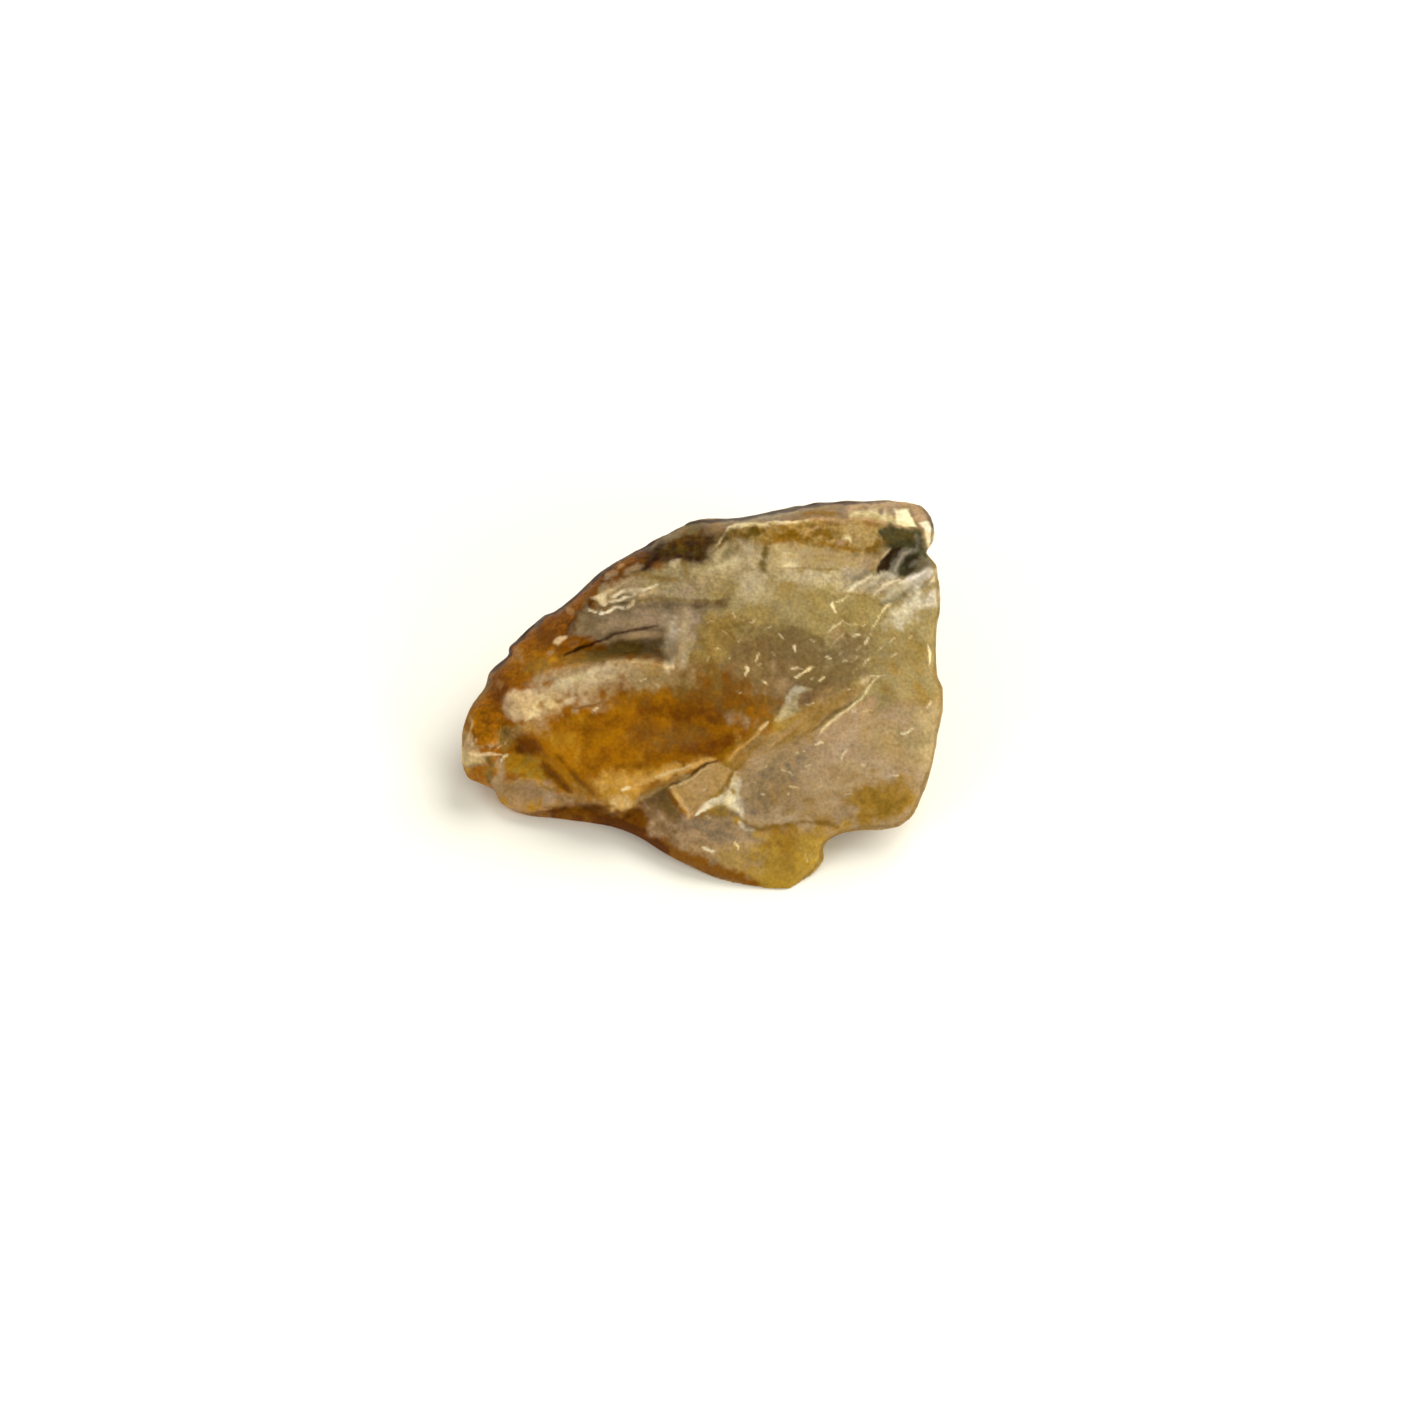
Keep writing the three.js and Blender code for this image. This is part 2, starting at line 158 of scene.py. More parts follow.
# From the lip of a scar, a wall drops at the slope `wall` to a bowed face.
SCARS = [
    dict(
        name="left scar", at=(-5.0, 5.0), out=7.5, slope=(0.02, 0.0), bow=(0.2, 0.2), wall=0.8,
        lip=SCAR_END + AMBER_CREST[1:6][::-1] + [
            (-10.9, 3.1), (-10.0, 4.1), (-9.0, 5.0), (-8.3, 6.2), (-7.6, 7.2), (-5.6, 7.3), (-3.5, 7.5),
            (-1.6, 7.1), (-1.0, 6.0),
        ],
    ),
    dict(
        name="middle ledge of the left scar",
        at=(-5.0, 4.0), out=7.0, slope=(0.03, 0.1), bow=(0.2, 0.2), wall=1.8,
        lip=SCAR_END + AMBER_CREST[2:6][::-1] + [(-10.3, 3.1), (-7.7, 4.1), (-5.6, 5.0), (-2.5, 5.1)],
    ),
    dict(
        name="window of the left scar",
        at=(-4.5, 3.5), out=6.4, slope=(0, 0.1), bow=(0.3, 0.3), wall=2.2,
        lip=SCAR_END + AMBER_CREST[3:6][::-1] + [(-8.4, 3.2), (-6.7, 4.0), (-4.2, 4.4)],
    ),
    dict(
        name="amber scar", at=(-5.0, -1.8), out=8.25, slope=(0.0, -0.2), bow=(0.5, 2.0), wall=0.45,
        lip=AMBER_TIP + AMBER_CREST + AMBER_FADE + AMBER_RIGHT_RIM + AMBER_FOOT + AMBER_LEFT_RIM,
    ),
    dict(
        name="flat chip", at=(0.1, -6.2), out=9.1, slope=(0.1, -0.05), bow=(0, 0), wall=2.0,
        lip=CHIP_EDGE + [(2.5, -4.9)] + AMBER_RIGHT_RIM[1:],
    ),
    dict(
        name="olive facet", at=(-12.0, -4.5), out=7.6, slope=(0.12, -0.1), bow=(0, 0.5), wall=1.4,
        lip=AMBER_FOOT[-1:] + AMBER_LEFT_RIM + AMBER_TIP + [
            (-14.4, -1.8), (-14.6, -3.4), (-14.8, -5.4), (-15.0, -12), (-8, -12),
        ],
    ),
    dict(
        name="lower shelf", at=(3.4, -9.0), out=9.7, slope=(0.12, -0.24), bow=(-0.1, -0.6), wall=2.4,
        lip=[(-24, -6), (-15.0, -6.1), (-13.8, -5.4), (-12.0, -5.6), (-10.4, -6.2), (-8.4, -6.9)]
        + AMBER_FOOT[::-1] + AMBER_RIGHT_RIM[2:] + CHIP_EDGE + LOBE_FOOT
        + [(13, -13), (12, -24), (-24, -24)],
    ),
    dict(
        name="corner pit", at=(14.2, 9.6), out=5.6, slope=(-0.1, 0), bow=(6, 6), wall=1.3,
        lip=[
            (12.4, 8.4), (12.5, 9.9), (13.4, 11.0), (14.5, 11.5), (15.8, 11.4), (16.3, 10.4), (15.9, 9.0),
            (14.6, 8.3),
        ],
    ),
]

# The faces round the back and underneath, placed on the stone as it lies: a place on each, its outward
# direction and its bow (hollow where negative).
BREAKS = [
    dict(name="back", at=(12.0, 9.9, 11.0), facing=(-0.13, 1, 0.3), bow=0.2),
    dict(name="lower back", at=(6.0, 9.45, 5.5), facing=(0.02, 1, -0.25), bow=0.3),
    dict(name="left back", at=(-8.4, 4.0, 7.0), facing=(-0.55, 1, 0.1), bow=-0.5),
    dict(name="left", at=(-15.0, -1.4, 3.2), facing=(-1, 0.7, -0.6), bow=0.4),
    dict(name="left underside", at=(-14.8, -8.6, 0.6), facing=(-0.5, -0.4, -1), bow=-0.3),
    dict(name="front underside", at=(-6.0, -12.2, -0.4), facing=(-0.08, -0.3, -1), bow=0.1),
    dict(name="right", at=(16.4, 0.0, 6.0), facing=(1, 0.15, -0.2), bow=-0.5),
    dict(name="lower right", at=(15.4, -8.6, 2.4), facing=(0.9, -0.3, -0.8), bow=0.4),
    dict(name="right underside", at=(12.0, -12.9, 1.5), facing=(0.35, -0.1, -1), bow=-0.3),
    dict(name="upper back flake", at=(11.5, 9.75, 7.4), facing=(0.2, 1, -0.2), bow=-3.2),
    dict(name="middle back flake", at=(1.0, 8.0, 5.8), facing=(-0.35, 1, -0.2), bow=-2.4),
    dict(name="back foot flake", at=(7.0, 7.2, 1.4), facing=(0.05, 1, -0.7), bow=-3.5),
    dict(name="left back flake", at=(-9.5, 2.4, 3.6), facing=(-0.6, 1, -0.4), bow=-3.0),
    dict(name="upper left flake", at=(-11.2, 1.9, 5.6), facing=(-0.7, 1, 0.0), bow=-2.4),
    dict(name="left foot flake", at=(-13.6, -3.4, 1.2), facing=(-1, 0.5, -0.7), bow=-3.0),
    dict(name="right back flake", at=(15.6, 4.2, 5.0), facing=(1, 0.5, -0.4), bow=-3.0),
    dict(name="right flake", at=(15.4, -3.0, 3.2), facing=(1, 0.0, -0.45), bow=-2.6),
    dict(name="right foot flake", at=(14.0, 2.8, 1.0), facing=(0.8, 0.3, -0.8), bow=-3.0),
]


def smoothstep(value, low, high):
    t = np.clip((value - low) / (high - low), 0, 1)
    return t * t * (3 - 2 * t)


def mix(a, b, share):
    return a + (b - a) * share


def segments(line, closed):
    points = np.asarray(line, float)
    ends = np.roll(points, -1, axis=0)
    return list(zip(points, ends)) if closed else list(zip(points[:-1], ends[:-1]))


def inside_by(line, x, y):
    """How far points lie inside a closed line, negative outside it."""
    gap = np.full(x.shape, np.inf)
    inside = np.zeros(x.shape, bool)
    for (ax, ay), (bx, by) in segments(line, closed=True):
        dx, dy = bx - ax, by - ay
        t = np.clip(((x - ax) * dx + (y - ay) * dy) / (dx * dx + dy * dy), 0, 1)
        gap = np.minimum(gap, np.hypot(x - ax - t * dx, y - ay - t * dy))
        if dy:
            inside ^= ((ay > y) != (by > y)) & (x < ax + (y - ay) * dx / dy)
    return np.where(inside, gap, -gap)


def along_line(line, x, y):
    """How far points lie from an open line, and how far along it, from 0 to 1, their nearest place is."""
    pieces = segments(line, closed=False)
    lengths = [np.hypot(*(b - a)) for a, b in pieces]
    gap = np.full(x.shape, np.inf)
    place = np.zeros(x.shape)
    done = 0.0
    for ((ax, ay), (bx, by)), length in zip(pieces, lengths):
        dx, dy = bx - ax, by - ay
        t = np.clip(((x - ax) * dx + (y - ay) * dy) / (dx * dx + dy * dy), 0, 1)
        here = np.hypot(x - ax - t * dx, y - ay - t * dy)
        nearer = here < gap
        gap = np.where(nearer, here, gap)
        place = np.where(nearer, done + t * length, place)
        done += length
    return gap, place / done


def rounded_outline(points, parts=4):
    """A centripetal Catmull-Rom curve through the outline's points."""
    p1 = np.array(points, float)
    p0, p2, p3 = np.roll(p1, 1, 0), np.roll(p1, -1, 0), np.roll(p1, -2, 0)
    d0, d1, d2 = (np.sqrt(np.linalg.norm(b - a, axis=1))[:, None] for a, b in ((p0, p1), (p1, p2), (p2, p3)))
    start = ((p1 - p0) / d0 - (p2 - p0) / (d0 + d1) + (p2 - p1) / d1) * d1
    end = ((p2 - p1) / d1 - (p3 - p1) / (d1 + d2) + (p3 - p2) / d2) * d1
    curve = []
    for t in np.arange(parts) / parts:
        square, cube = (3 * p2 - 3 * p1 - 2 * start - end), (2 * p1 - 2 * p2 + start + end)
        curve.append(p1 + start * t + square * t**2 + cube * t**3)
    return np.stack(curve, axis=1).reshape(-1, 2)


def bowed_face(face, x, y):
    dx, dy = x - face["at"][0], y - face["at"][1]
    (slope_x, slope_y), (bow_x, bow_y) = face["slope"], face["bow"]
    return face["out"] + slope_x * dx + slope_y * dy + (bow_x * dx * dx + bow_y * dy * dy) / BOW_PARTS


def broad_side(x, y, from_outline):
    """The height of the broad side."""
    out = bowed_face(DOME, x, y)
    for bevel in BEVELS:
        out -= bevel["fall"] * np.maximum(0, inside_by(bevel["within"], x, y))
    for ledge in STEPS:
        out += ledge["step"] * smoothstep(inside_by(ledge["within"], x, y), 0, ledge["width"])
    for scar in SCARS:
        drop = scar["wall"] * np.maximum(0, inside_by(scar["lip"], x, y))
        floor = np.minimum(out, np.maximum(out - drop, bowed_face(scar, x, y)))
        out = np.where(drop > 0, floor, out)
    from_edge = np.clip(from_outline / ROUNDING, 0, 1)
    return out - ROUNDING * (1 - np.sqrt(1 - (1 - from_edge) ** 2))


# Places on the broad side where one face runs into the next without an edge: the middle of each and its
# reach.
FADED = [((1.8, 0.6), 2.6), ((4.4, -0.8), 2.4), ((-0.6, 2.2), 2.0), ((10.5, 2.2), 2.6), ((9.0, -0.6), 1.6)]
FADING = 9  # how far round a point, in grid cells, the surface is evened out there
WORN = 1  # the same for every other edge
FULLY_FADED = 0.4  # of a faded place's reach, where the evening out is at its full strength


def evened(table, reach):
    """A table with each value replaced by the mean of its neighbourhood, `reach` cells to each side."""
    for axis in (0, 1):
        for _ in range(2):
            padded = np.concatenate([
                np.repeat(np.take(table, [0], axis), reach + 1, axis), table,
                np.repeat(np.take(table, [-1], axis), reach, axis),
            ], axis)
            sums = np.cumsum(padded, axis)
            span = 2 * reach + 1
            count = table.shape[axis]
            ahead = np.take(sums, range(span, span + count), axis)
            table = (ahead - np.take(sums, range(count), axis)) / span
    return table


def faded(top, x, y):
    """The broad side with its edges worn a little, and smoothed away at the faded places."""
    share = np.zeros(top.shape)
    for (across, up), reach in FADED:
        share = np.maximum(share, smoothstep(np.hypot(x - across, y - up) / reach, 1.0, FULLY_FADED))
    return mix(evened(top, WORN), evened(top, FADING), share)


LATTICE = 64  # random values along each axis before a noise repeats

# The noises: the size of their features, in mm or for the markings' edges in pixels, how far they go either
# way, their seed, and their layers where there aren't three.
NOISES = dict(
    body_wander=(5.0, 2.2, 40), band_wander=(6.0, 0.7, 48), milk=(3.0, 1, 50), dark_bands=(4.0, 1, 55),
    fine_bands=(3.0, 1, 58), rust=(3.2, 1, 60), across=(16, 2.4, 70), up=(16, 2.4, 80), fray=(9, 1, 85),
    clouds=(1.3, 0.16, 90), mottle=(0.42, 0.15, 95, 2), yellow=(1.7, 1, 97), grain=(1.0, 1, 100),
    arc_bend=(4.0, 0.5, 200), crust=(0.8, 0.10, 300), grit=(0.3, 0.04, 305, 1), swell=(1.6, 0.035, 310),
    hidden_swell=(2.6, 0.09, 320),
)


def noise(points, size, seed):
    """Smooth random values from -1 to 1 at points, with features of about the given size."""
    values = np.random.default_rng(seed).random((LATTICE,) * 3).astype(np.float32) * 2 - 1
    scaled = np.asarray(points) / size
    base = np.floor(scaled).astype(int)
    part = scaled - base
    part = part * part * part * (part * (part * 6 - 15) + 10)
    total = np.zeros(len(scaled))
    for corner in itertools.product((0, 1), repeat=3):
        cell = (base + corner) % LATTICE
        weight = np.prod(np.where(corner, part, 1 - part), axis=1)
        total += weight * values[cell[:, 0], cell[:, 1], cell[:, 2]]
    return total


def layered_noise(name, points, step=0):
    """One of the NOISES at points. Each step makes another of its kind."""
    size, amount, seed, *rest = NOISES[name]
    layers = rest[0] if rest else 3
    total = sum(noise(points, size / 2**i, seed + step + i) / 2**i for i in range(layers))
    return amount * (total / (2 - 0.5 ** (layers - 1)))


# ---------------------------------------------------------------- the markings

# The markings are placed on the picture plane, whose pixels are PIXEL mm of the broad side. The pixel
# MIDDLE is where across and up are 0. All sizes of markings are in these pixels.
PIXEL = 0.07
MIDDLE = (700, 700)
RELIEF = 0.5  # the share of its lift that a marking gets
SOFTNESS = 2.2  # how much softer the patches' edges are than their `soft`
FRAY = 0.7  # how far a patch's edge is broken up, as a share of its softness
STROKE_FRAY = 0.9  # how far a stroke's width is broken up
STROKE_ENDS = 5  # each end of a stroke narrows over this part of its length, here a fifth
STROKE_TIP = 0.35  # a stroke's width at its ends, as a share of its full width
PLAIN_GRAIN = (0, 12, 12)  # of a marking that names none
GRAIN_LENGTH = 0.7  # how much the grain's noise is drawn out along its length
GRAIN_WIDTH = 1.5  # and across it
GRAIN_CONTRAST = 0.9  # the noise at which a grain is all of one colour


# Colours as seen in plain light, 0 to 255.
PALETTE = dict(
    amber=(128, 78, 2), amber_dark=(108, 60, 2), amber_light=(170, 112, 8), black=(48, 33, 14),
    black_brown=(40, 15, 2), blob=(224, 194, 152), blob_grey=(198, 170, 130), bright=(246, 226, 178),
    centre=(134, 112, 70), centre_dark=(110, 92, 58), chip=(206, 170, 116), chip_shade=(182, 148, 92),
    cloud=(154, 135, 95), cloud_light=(190, 170, 130), corner=(148, 126, 92), corner_cream=(238, 232, 202),
    cream=(232, 214, 164), cream_patch=(250, 244, 194), crest=(222, 198, 154), crest_mauve=(190, 162, 120),
    crinkle=(236, 220, 188), crust=(188, 158, 96), crust_dark=(128, 92, 22), dark_brown=(64, 38, 2),
    dark_green=(84, 82, 54), dark_grey=(60, 54, 36), dark_rust=(104, 56, 6), edge=(214, 190, 138),
    edge_grey=(130, 116, 84), fold_dark=(104, 58, 5), fold_gold=(160, 110, 14), golden=(182, 146, 58),
    golden_brown=(146, 102, 20), green_white=(204, 188, 148), grey_brown=(132, 108, 70),
    honey=(188, 140, 42), lobe=(170, 142, 104), lobe_gold=(156, 120, 54), lobe_gold_dark=(168, 130, 50),
    lobe_light=(186, 162, 126), lobe_shade=(172, 142, 98), mauve=(138, 120, 96), mauve_brown=(134, 104, 68),
    mauve_dark=(100, 80, 48), mauve_light=(164, 140, 108), mid_grey=(124, 116, 98),
    nub_cream=(208, 180, 126), nub_rust=(190, 122, 10), nub_tan=(180, 138, 60), olive=(160, 134, 76),
    olive_brown=(136, 108, 56), olive_dark=(94, 74, 18), olive_gold=(184, 128, 12),
    olive_pale=(164, 147, 100), orange_brown=(132, 84, 10), pale_band=(178, 154, 104),
    pale_strip=(182, 146, 100), pink=(182, 142, 94), pink_patch=(186, 150, 114), pink_tan=(186, 150, 110),
    purple_brown=(124, 98, 64), purple_grey=(186, 156, 120), ridge_pink=(186, 152, 110),
    right_honey=(162, 130, 68), rim_brown=(92, 50, 2), rim_cream=(204, 160, 88), rust=(148, 90, 8),
    rust_dark=(116, 68, 6), strip=(182, 160, 100), strip_mauve=(150, 124, 98), strip_shade=(132, 110, 86),
    strip_tan=(146, 116, 74), tan=(174, 144, 96), vein=(246, 234, 206), white_streak=(190, 178, 150),
    window=(84, 62, 12), window_olive=(122, 100, 52), yellow_green=(196, 168, 88),
    yellow_olive=(172, 140, 56),
)


def area(name, colours, soft, strength, *points, grain=PLAIN_GRAIN, lift=0, crust=0):
    """A patch of one colour, or of two, "one/other", that mix along a grain of (direction, length, width).

    `soft` is the softness of its edges, `strength` the share of the colour under it that it covers, `lift`
    how far it raises the surface, in mm, and `crust` how crusty it makes it.
    """
    colour, _, other = colours.partition("/")
    return dict(name=name, colour=colour, other=other or colour, points=points, grain=grain, width=None,
                soft=soft, strength=strength, lift=lift, crust=crust)


def line(name, colour, width, soft, strength, *points, lift=0, crust=0):
    """A stroke that narrows to its two ends."""
    return dict(name=name, colour=colour, other=colour, points=points, grain=PLAIN_GRAIN, width=width,
                soft=soft, strength=strength, lift=lift, crust=crust)


def on_picture(x, y):
    """Where places across and up the broad side lie on the picture."""
    return MIDDLE[0] + x / PIXEL, MIDDLE[1] - y / PIXEL


# The stone's edge from the left tip over the crest and down the right side to the foot, in picture pixels.
RIM = [on_picture(x, y) for x, y in OUTLINE]

MARKINGS = [
    # Grounds, each under what comes after it.
    area("middle ground", "olive/olive_pale", 14, 1,
        (690, 590), (945, 560), (945, 700), (700, 740), grain=(10, 40, 14), crust=0.25),
    area("centre", "centre/purple_brown", 14, 1,
        (712, 640), (740, 622), (780, 628), (822, 640), (870, 628), (882, 640), (868, 672), (840, 700),
        (800, 725), (750, 730), (712, 700), (700, 665), grain=(15, 8, 7), crust=0.25),
    area("dark of the centre", "centre_dark/grey_brown", 14, 0.7,
        (790, 632), (830, 645), (866, 640), (860, 662), (820, 680), (780, 664), grain=(15, 8, 6)),
    area("left of the centre", "olive/olive_brown", 10, 1,
        (672, 610), (700, 600), (745, 610), (742, 640), (715, 665), (680, 672), (672, 640),
        grain=(20, 10, 6), crust=0.25),
    area("mauve in the centre", "mauve_brown/purple_grey", 16, 0.7,
        (735, 680), (785, 672), (790, 690), (770, 712), (735, 705)),
    area("right olive", "olive/olive_pale", 12, 1,
        (872, 625), (905, 605), (945, 590), (945, 650), (925, 668), (880, 675), (862, 665),
        grain=(35, 16, 6)),
    # Honey at the right edge: partly the stone's own and partly a painted glow of light through the thin
    # edge.
    area("right honey", "right_honey/olive_pale", 14, 1,
        (872, 680), (905, 662), (940, 655), (948, 700), (925, 722), (880, 726), (862, 705),
        grain=(30, 14, 9)),
    area("right lobe", "lobe/lobe_light", 8, 1,
        (738, 770), (760, 742), (830, 728), (880, 705), (948, 705), (935, 800), (900, 832), (842, 842),
        (745, 830), (730, 800), grain=(20, 26, 7)),
    area("lobe's right tan", "olive_pale/tan", 16, 0.8,
        (868, 728), (945, 705), (945, 772), (905, 775), (868, 760), grain=(25, 16, 6)),
    area("lobe's left shade", "lobe_shade/mauve", 12, 1,
        (742, 775), (765, 752), (800, 740), (822, 748), (815, 775), (790, 806), (752, 818), (742, 800),
        grain=(25, 9, 6)),
    area("lobe's light middle", "lobe_light/lobe", 12, 0.7,
        (800, 765), (850, 745), (905, 745), (910, 768), (850, 785), (800, 788), grain=(12, 18, 5)),
    area("lobe's low tan", "lobe_gold/lobe", 14, 0.6,
        (780, 798), (850, 790), (900, 780), (930, 775), (905, 832), (800, 825), grain=(4, 16, 8)),
    area("lobe's right foot", "lobe_light/lobe", 8, 0.8,
        (900, 770), (934, 752), (926, 790), (908, 816), (898, 800), grain=(60, 10, 6)),
    area("lobe's gold", "lobe_gold/lobe_gold_dark", 9, 1,
        (846, 786), (880, 778), (914, 778), (912, 800), (896, 818), (862, 822), (850, 802),
        grain=(0, 10, 8)),
    area("lobe's dark gold", "lobe_gold_dark/olive_dark", 10, 0.6,
        (866, 786), (884, 784), (894, 800), (888, 818), (872, 816), grain=(0, 12, 10)),
    area("band beside the lobe", "tan/lobe_gold", 6, 1,
        (722, 768), (745, 745), (775, 716), (800, 700), (838, 690), (868, 680), (850, 705), (825, 728),
        (790, 742), (760, 752), (738, 772), grain=(42, 26, 3)),
    # The golden tip under the lobe.
    area("lower face", "purple_grey/mauve", 8, 1,
        (640, 800), (690, 812), (745, 826), (770, 835), (770, 880), (740, 890), (690, 872), (640, 842),
        grain=(-30, 16, 5)),
    area("lower face's shade", "mauve_brown/purple_grey", 10, 1,
        (640, 798), (672, 800), (690, 830), (712, 856), (690, 860), (660, 842), (636, 822),
        grain=(-50, 12, 4)),
    # The golden tip: partly its own gold and partly a painted glow of light through the thin tip.
    area("golden tip", "golden/lobe_gold", 14, 1,
        (762, 836), (800, 826), (845, 826), (845, 840), (830, 850), (825, 868), (800, 888), (780, 900),
        (750, 892), (754, 866), grain=(70, 10, 8)),
    area("brown in the tip", "golden_brown", 12, 0.5,
        (772, 828), (794, 826), (800, 846), (796, 862), (782, 850)),
    area("green in the tip", "yellow_green/golden", 10, 0.7,
        (800, 842), (826, 838), (824, 866), (805, 875), (796, 866), grain=(60, 10, 5)),
    area("honey in the tip", "yellow_olive/golden", 9, 0.8,
        (752, 872), (795, 868), (800, 882), (785, 898), (752, 890)),
    area("tan left of the tip", "golden", 10, 0.5,
        (722, 846), (752, 846), (758, 880), (738, 886), (720, 868)),
    area("pink corner of the tip", "pink", 5, 0.7, (826, 828), (845, 832), (842, 842), (828, 842)),
    # The lower left.
    area("lower lobe", "pink_patch/honey", 5, 1,
        (494, 784), (545, 776), (600, 795), (640, 800), (640, 830), (500, 822), grain=(0, 10, 6)),
    area("lower lobe's mauve", "mauve_brown/pink_patch", 4, 0.8,
        (556, 792), (590, 797), (604, 801), (596, 806), (556, 806), grain=(0, 8, 4)),
    area("lower lobe's pink", "blob_grey/pink_patch", 3.4, 1,
        (540, 794), (546, 788), (553, 791), (557, 800), (552, 806), (542, 803)),
    area("lower lobe's left", "tan/pink_patch", 6, 1,
        (497, 787), (530, 781), (540, 792), (536, 806), (508, 808), grain=(-10, 8, 5)),
    area("brown rim", "rim_brown/orange_brown", 3, 1,
        (524, 812), (560, 808), (596, 804), (625, 803), (645, 808), (650, 850), (600, 840), (515, 826),
        grain=(-5, 12, 5)),
    area("brown rim's left", "orange_brown/purple_grey", 6, 0.6,
        (505, 810), (545, 812), (548, 822), (510, 822), grain=(0, 12, 4)),
    line("orange rim", "orange_brown", 14, 8, 0.95,
        (628, 826), (648, 839), (670, 852), (690, 861), (712, 870), (735, 879), (760, 887)),
    line("dark start of the rim", "rim_brown", 13, 6, 0.95, (596, 818), (625, 826), (648, 840), (668, 853)),
    line("pale line in the rim", "pink", 1.6, 1.6, 0.9, (524, 812), (538, 811), (552, 810), lift=0.04),
    area("olive triangle", "olive_brown/mauve_brown", 4, 1,
        (640, 800), (654, 790), (668, 790), (684, 815), (676, 822), (655, 812), grain=(-50, 8, 4)),
    # The amber scar.
    area("amber", "amber/amber_light", 10, 1,
        (545, 735), (575, 710), (640, 690), (690, 672), (720, 676), (775, 700), (775, 718), (740, 748),
        (700, 766), (650, 782), (622, 800), (600, 795), (570, 768), grain=(12, 24, 9)),
    area("olive of the amber", "olive_brown/amber", 12, 0.6,
        (640, 722), (700, 724), (720, 736), (690, 748), (640, 752), (626, 738), grain=(8, 12, 8)),
    area("gold of the amber", "amber_light/olive_gold", 12, 0.35,
        (566, 732), (600, 728), (618, 740), (622, 756), (600, 770), (574, 756), grain=(10, 14, 8)),
    area("amber's upper right", "amber/window_olive", 13, 0.9,
        (650, 684), (684, 668), (716, 668), (740, 682), (776, 704), (752, 716), (722, 706), (690, 700),
        grain=(10, 12, 8)),
    # Darker high in the amber scar: partly its own darker amber and partly painted shade on the hollow's
    # upper part.
    area("dark amber", "amber_dark/amber", 8, 0.9,
        (640, 702), (680, 704), (712, 714), (722, 722), (700, 726), (660, 716), (638, 712),
        grain=(8, 16, 6)),
    area("lower dark amber", "amber_dark/amber", 8, 0.9,
        (676, 752), (704, 738), (742, 732), (748, 740), (720, 754), (696, 762), grain=(10, 12, 6)),
    area("purple in the amber", "mauve_brown/amber", 8, 0.25,
        (648, 740), (668, 736), (700, 736), (708, 744), (680, 750), (650, 750), grain=(10, 10, 6)),
    area("mauve by the amber's rim", "purple_grey", 6, 0.6,
        (728, 718), (740, 714), (748, 720), (738, 728), (728, 726)),
    # Lighter low on the left of the amber scar: partly its own lighter amber and partly painted light where
    # the hollow faces up.
    area("light amber", "amber_light/amber", 14, 1,
        (560, 738), (600, 735), (640, 756), (656, 768), (640, 778), (605, 785), (575, 762),
        grain=(5, 24, 6)),
    area("honey of the amber", "honey", 8, 0.5, (606, 774), (640, 764), (668, 764), (660, 774), (630, 782)),
    area("orange start of the amber", "honey/amber_light", 14, 0.7,
        (540, 735), (570, 722), (585, 745), (570, 765), (550, 752)),
    area("honey foot", "honey/rim_cream", 6, 1,
        (590, 780), (606, 772), (640, 772), (690, 762), (705, 764), (668, 776), (625, 794), (606, 800),
        grain=(14, 12, 6)),
    area("cream foot", "rim_cream/honey", 6, 1,
        (598, 790), (612, 782), (636, 780), (652, 778), (640, 790), (634, 804), (622, 809), (608, 806),
        grain=(10, 8, 5)),
    area("cream tip", "cream/rim_cream", 3, 0.7,
        (610, 802), (620, 798), (630, 800), (630, 805), (622, 809), (613, 807)),
    # The white crest and the blob at its left end.
    area("crest's fade", "tan/crest_mauve", 14, 0.8,
        (524, 690), (535, 678), (560, 666), (600, 658), (660, 657), (686, 664), (655, 682), (610, 692),
        (576, 700), (548, 712), (532, 724), (522, 728), grain=(14, 16, 6)),
    area("crest's golden fade", "yellow_olive/olive_gold", 9, 0.3,
        (600, 696), (640, 686), (676, 676), (690, 680), (664, 694), (620, 704), grain=(12, 12, 6)),
    area("crest's white ground", "crest_mauve", 12, 0.6,
        (540, 694), (580, 680), (620, 668), (650, 668), (620, 686), (560, 704)),
    # The white crest: partly its own white band and partly painted highlight from the light it reflects.
    area("crest", "crest/crest_mauve", 6, 1,
        (528, 690), (560, 678), (590, 668), (612, 661), (655, 660), (645, 668), (610, 681), (580, 691),
        (552, 702), (530, 712), grain=(16, 18, 5)),
    area("crest's mauve edge", "crest_mauve", 6, 1,
        (532, 674), (560, 668), (585, 664), (570, 674), (545, 684), (530, 686)),
    area("crest's tan end", "tan/cloud", 10, 0.7,
        (630, 664), (680, 664), (690, 676), (660, 684), (625, 682), grain=(8, 14, 4)),
    area("blob", "blob/blob_grey", 3.4, 1,
        (503, 702), (506, 693), (518, 688), (534, 689), (538, 700), (536, 714), (527, 723), (514, 722),
        (504, 714), grain=(60, 6, 5), lift=0.12),
    line("blob's grey side", "mauve_light", 8, 6, 0.7, (506, 697), (505, 706), (509, 716)),
    # A small painted highlight on the blob.
    line("blob's small highlight", "cream", 3, 2.4, 0.8, (526, 720), (530, 718), (534, 714)),
    line("blob's highlight", "cream", 5, 5, 0.5, (531, 714), (537, 705), (544, 697)),
    line("crest's highlight", "cream", 6, 6, 0.6, (550, 688), (566, 682), (582, 677), (598, 670)),
    line("crest's lower line", "fold_dark", 2, 2.4, 0.6, (570, 708), (582, 706), (594, 704), (605, 701)),
    line("crest's second highlight", "crest", 5, 4, 0.7, (545, 706), (562, 704), (576, 697)),
    # The left slope.
    area("left slope", "rust/rust_dark", 5, 1,
        (455, 745), (470, 705), (505, 650), (560, 605), (600, 565), (650, 535), (662, 545), (640, 566),
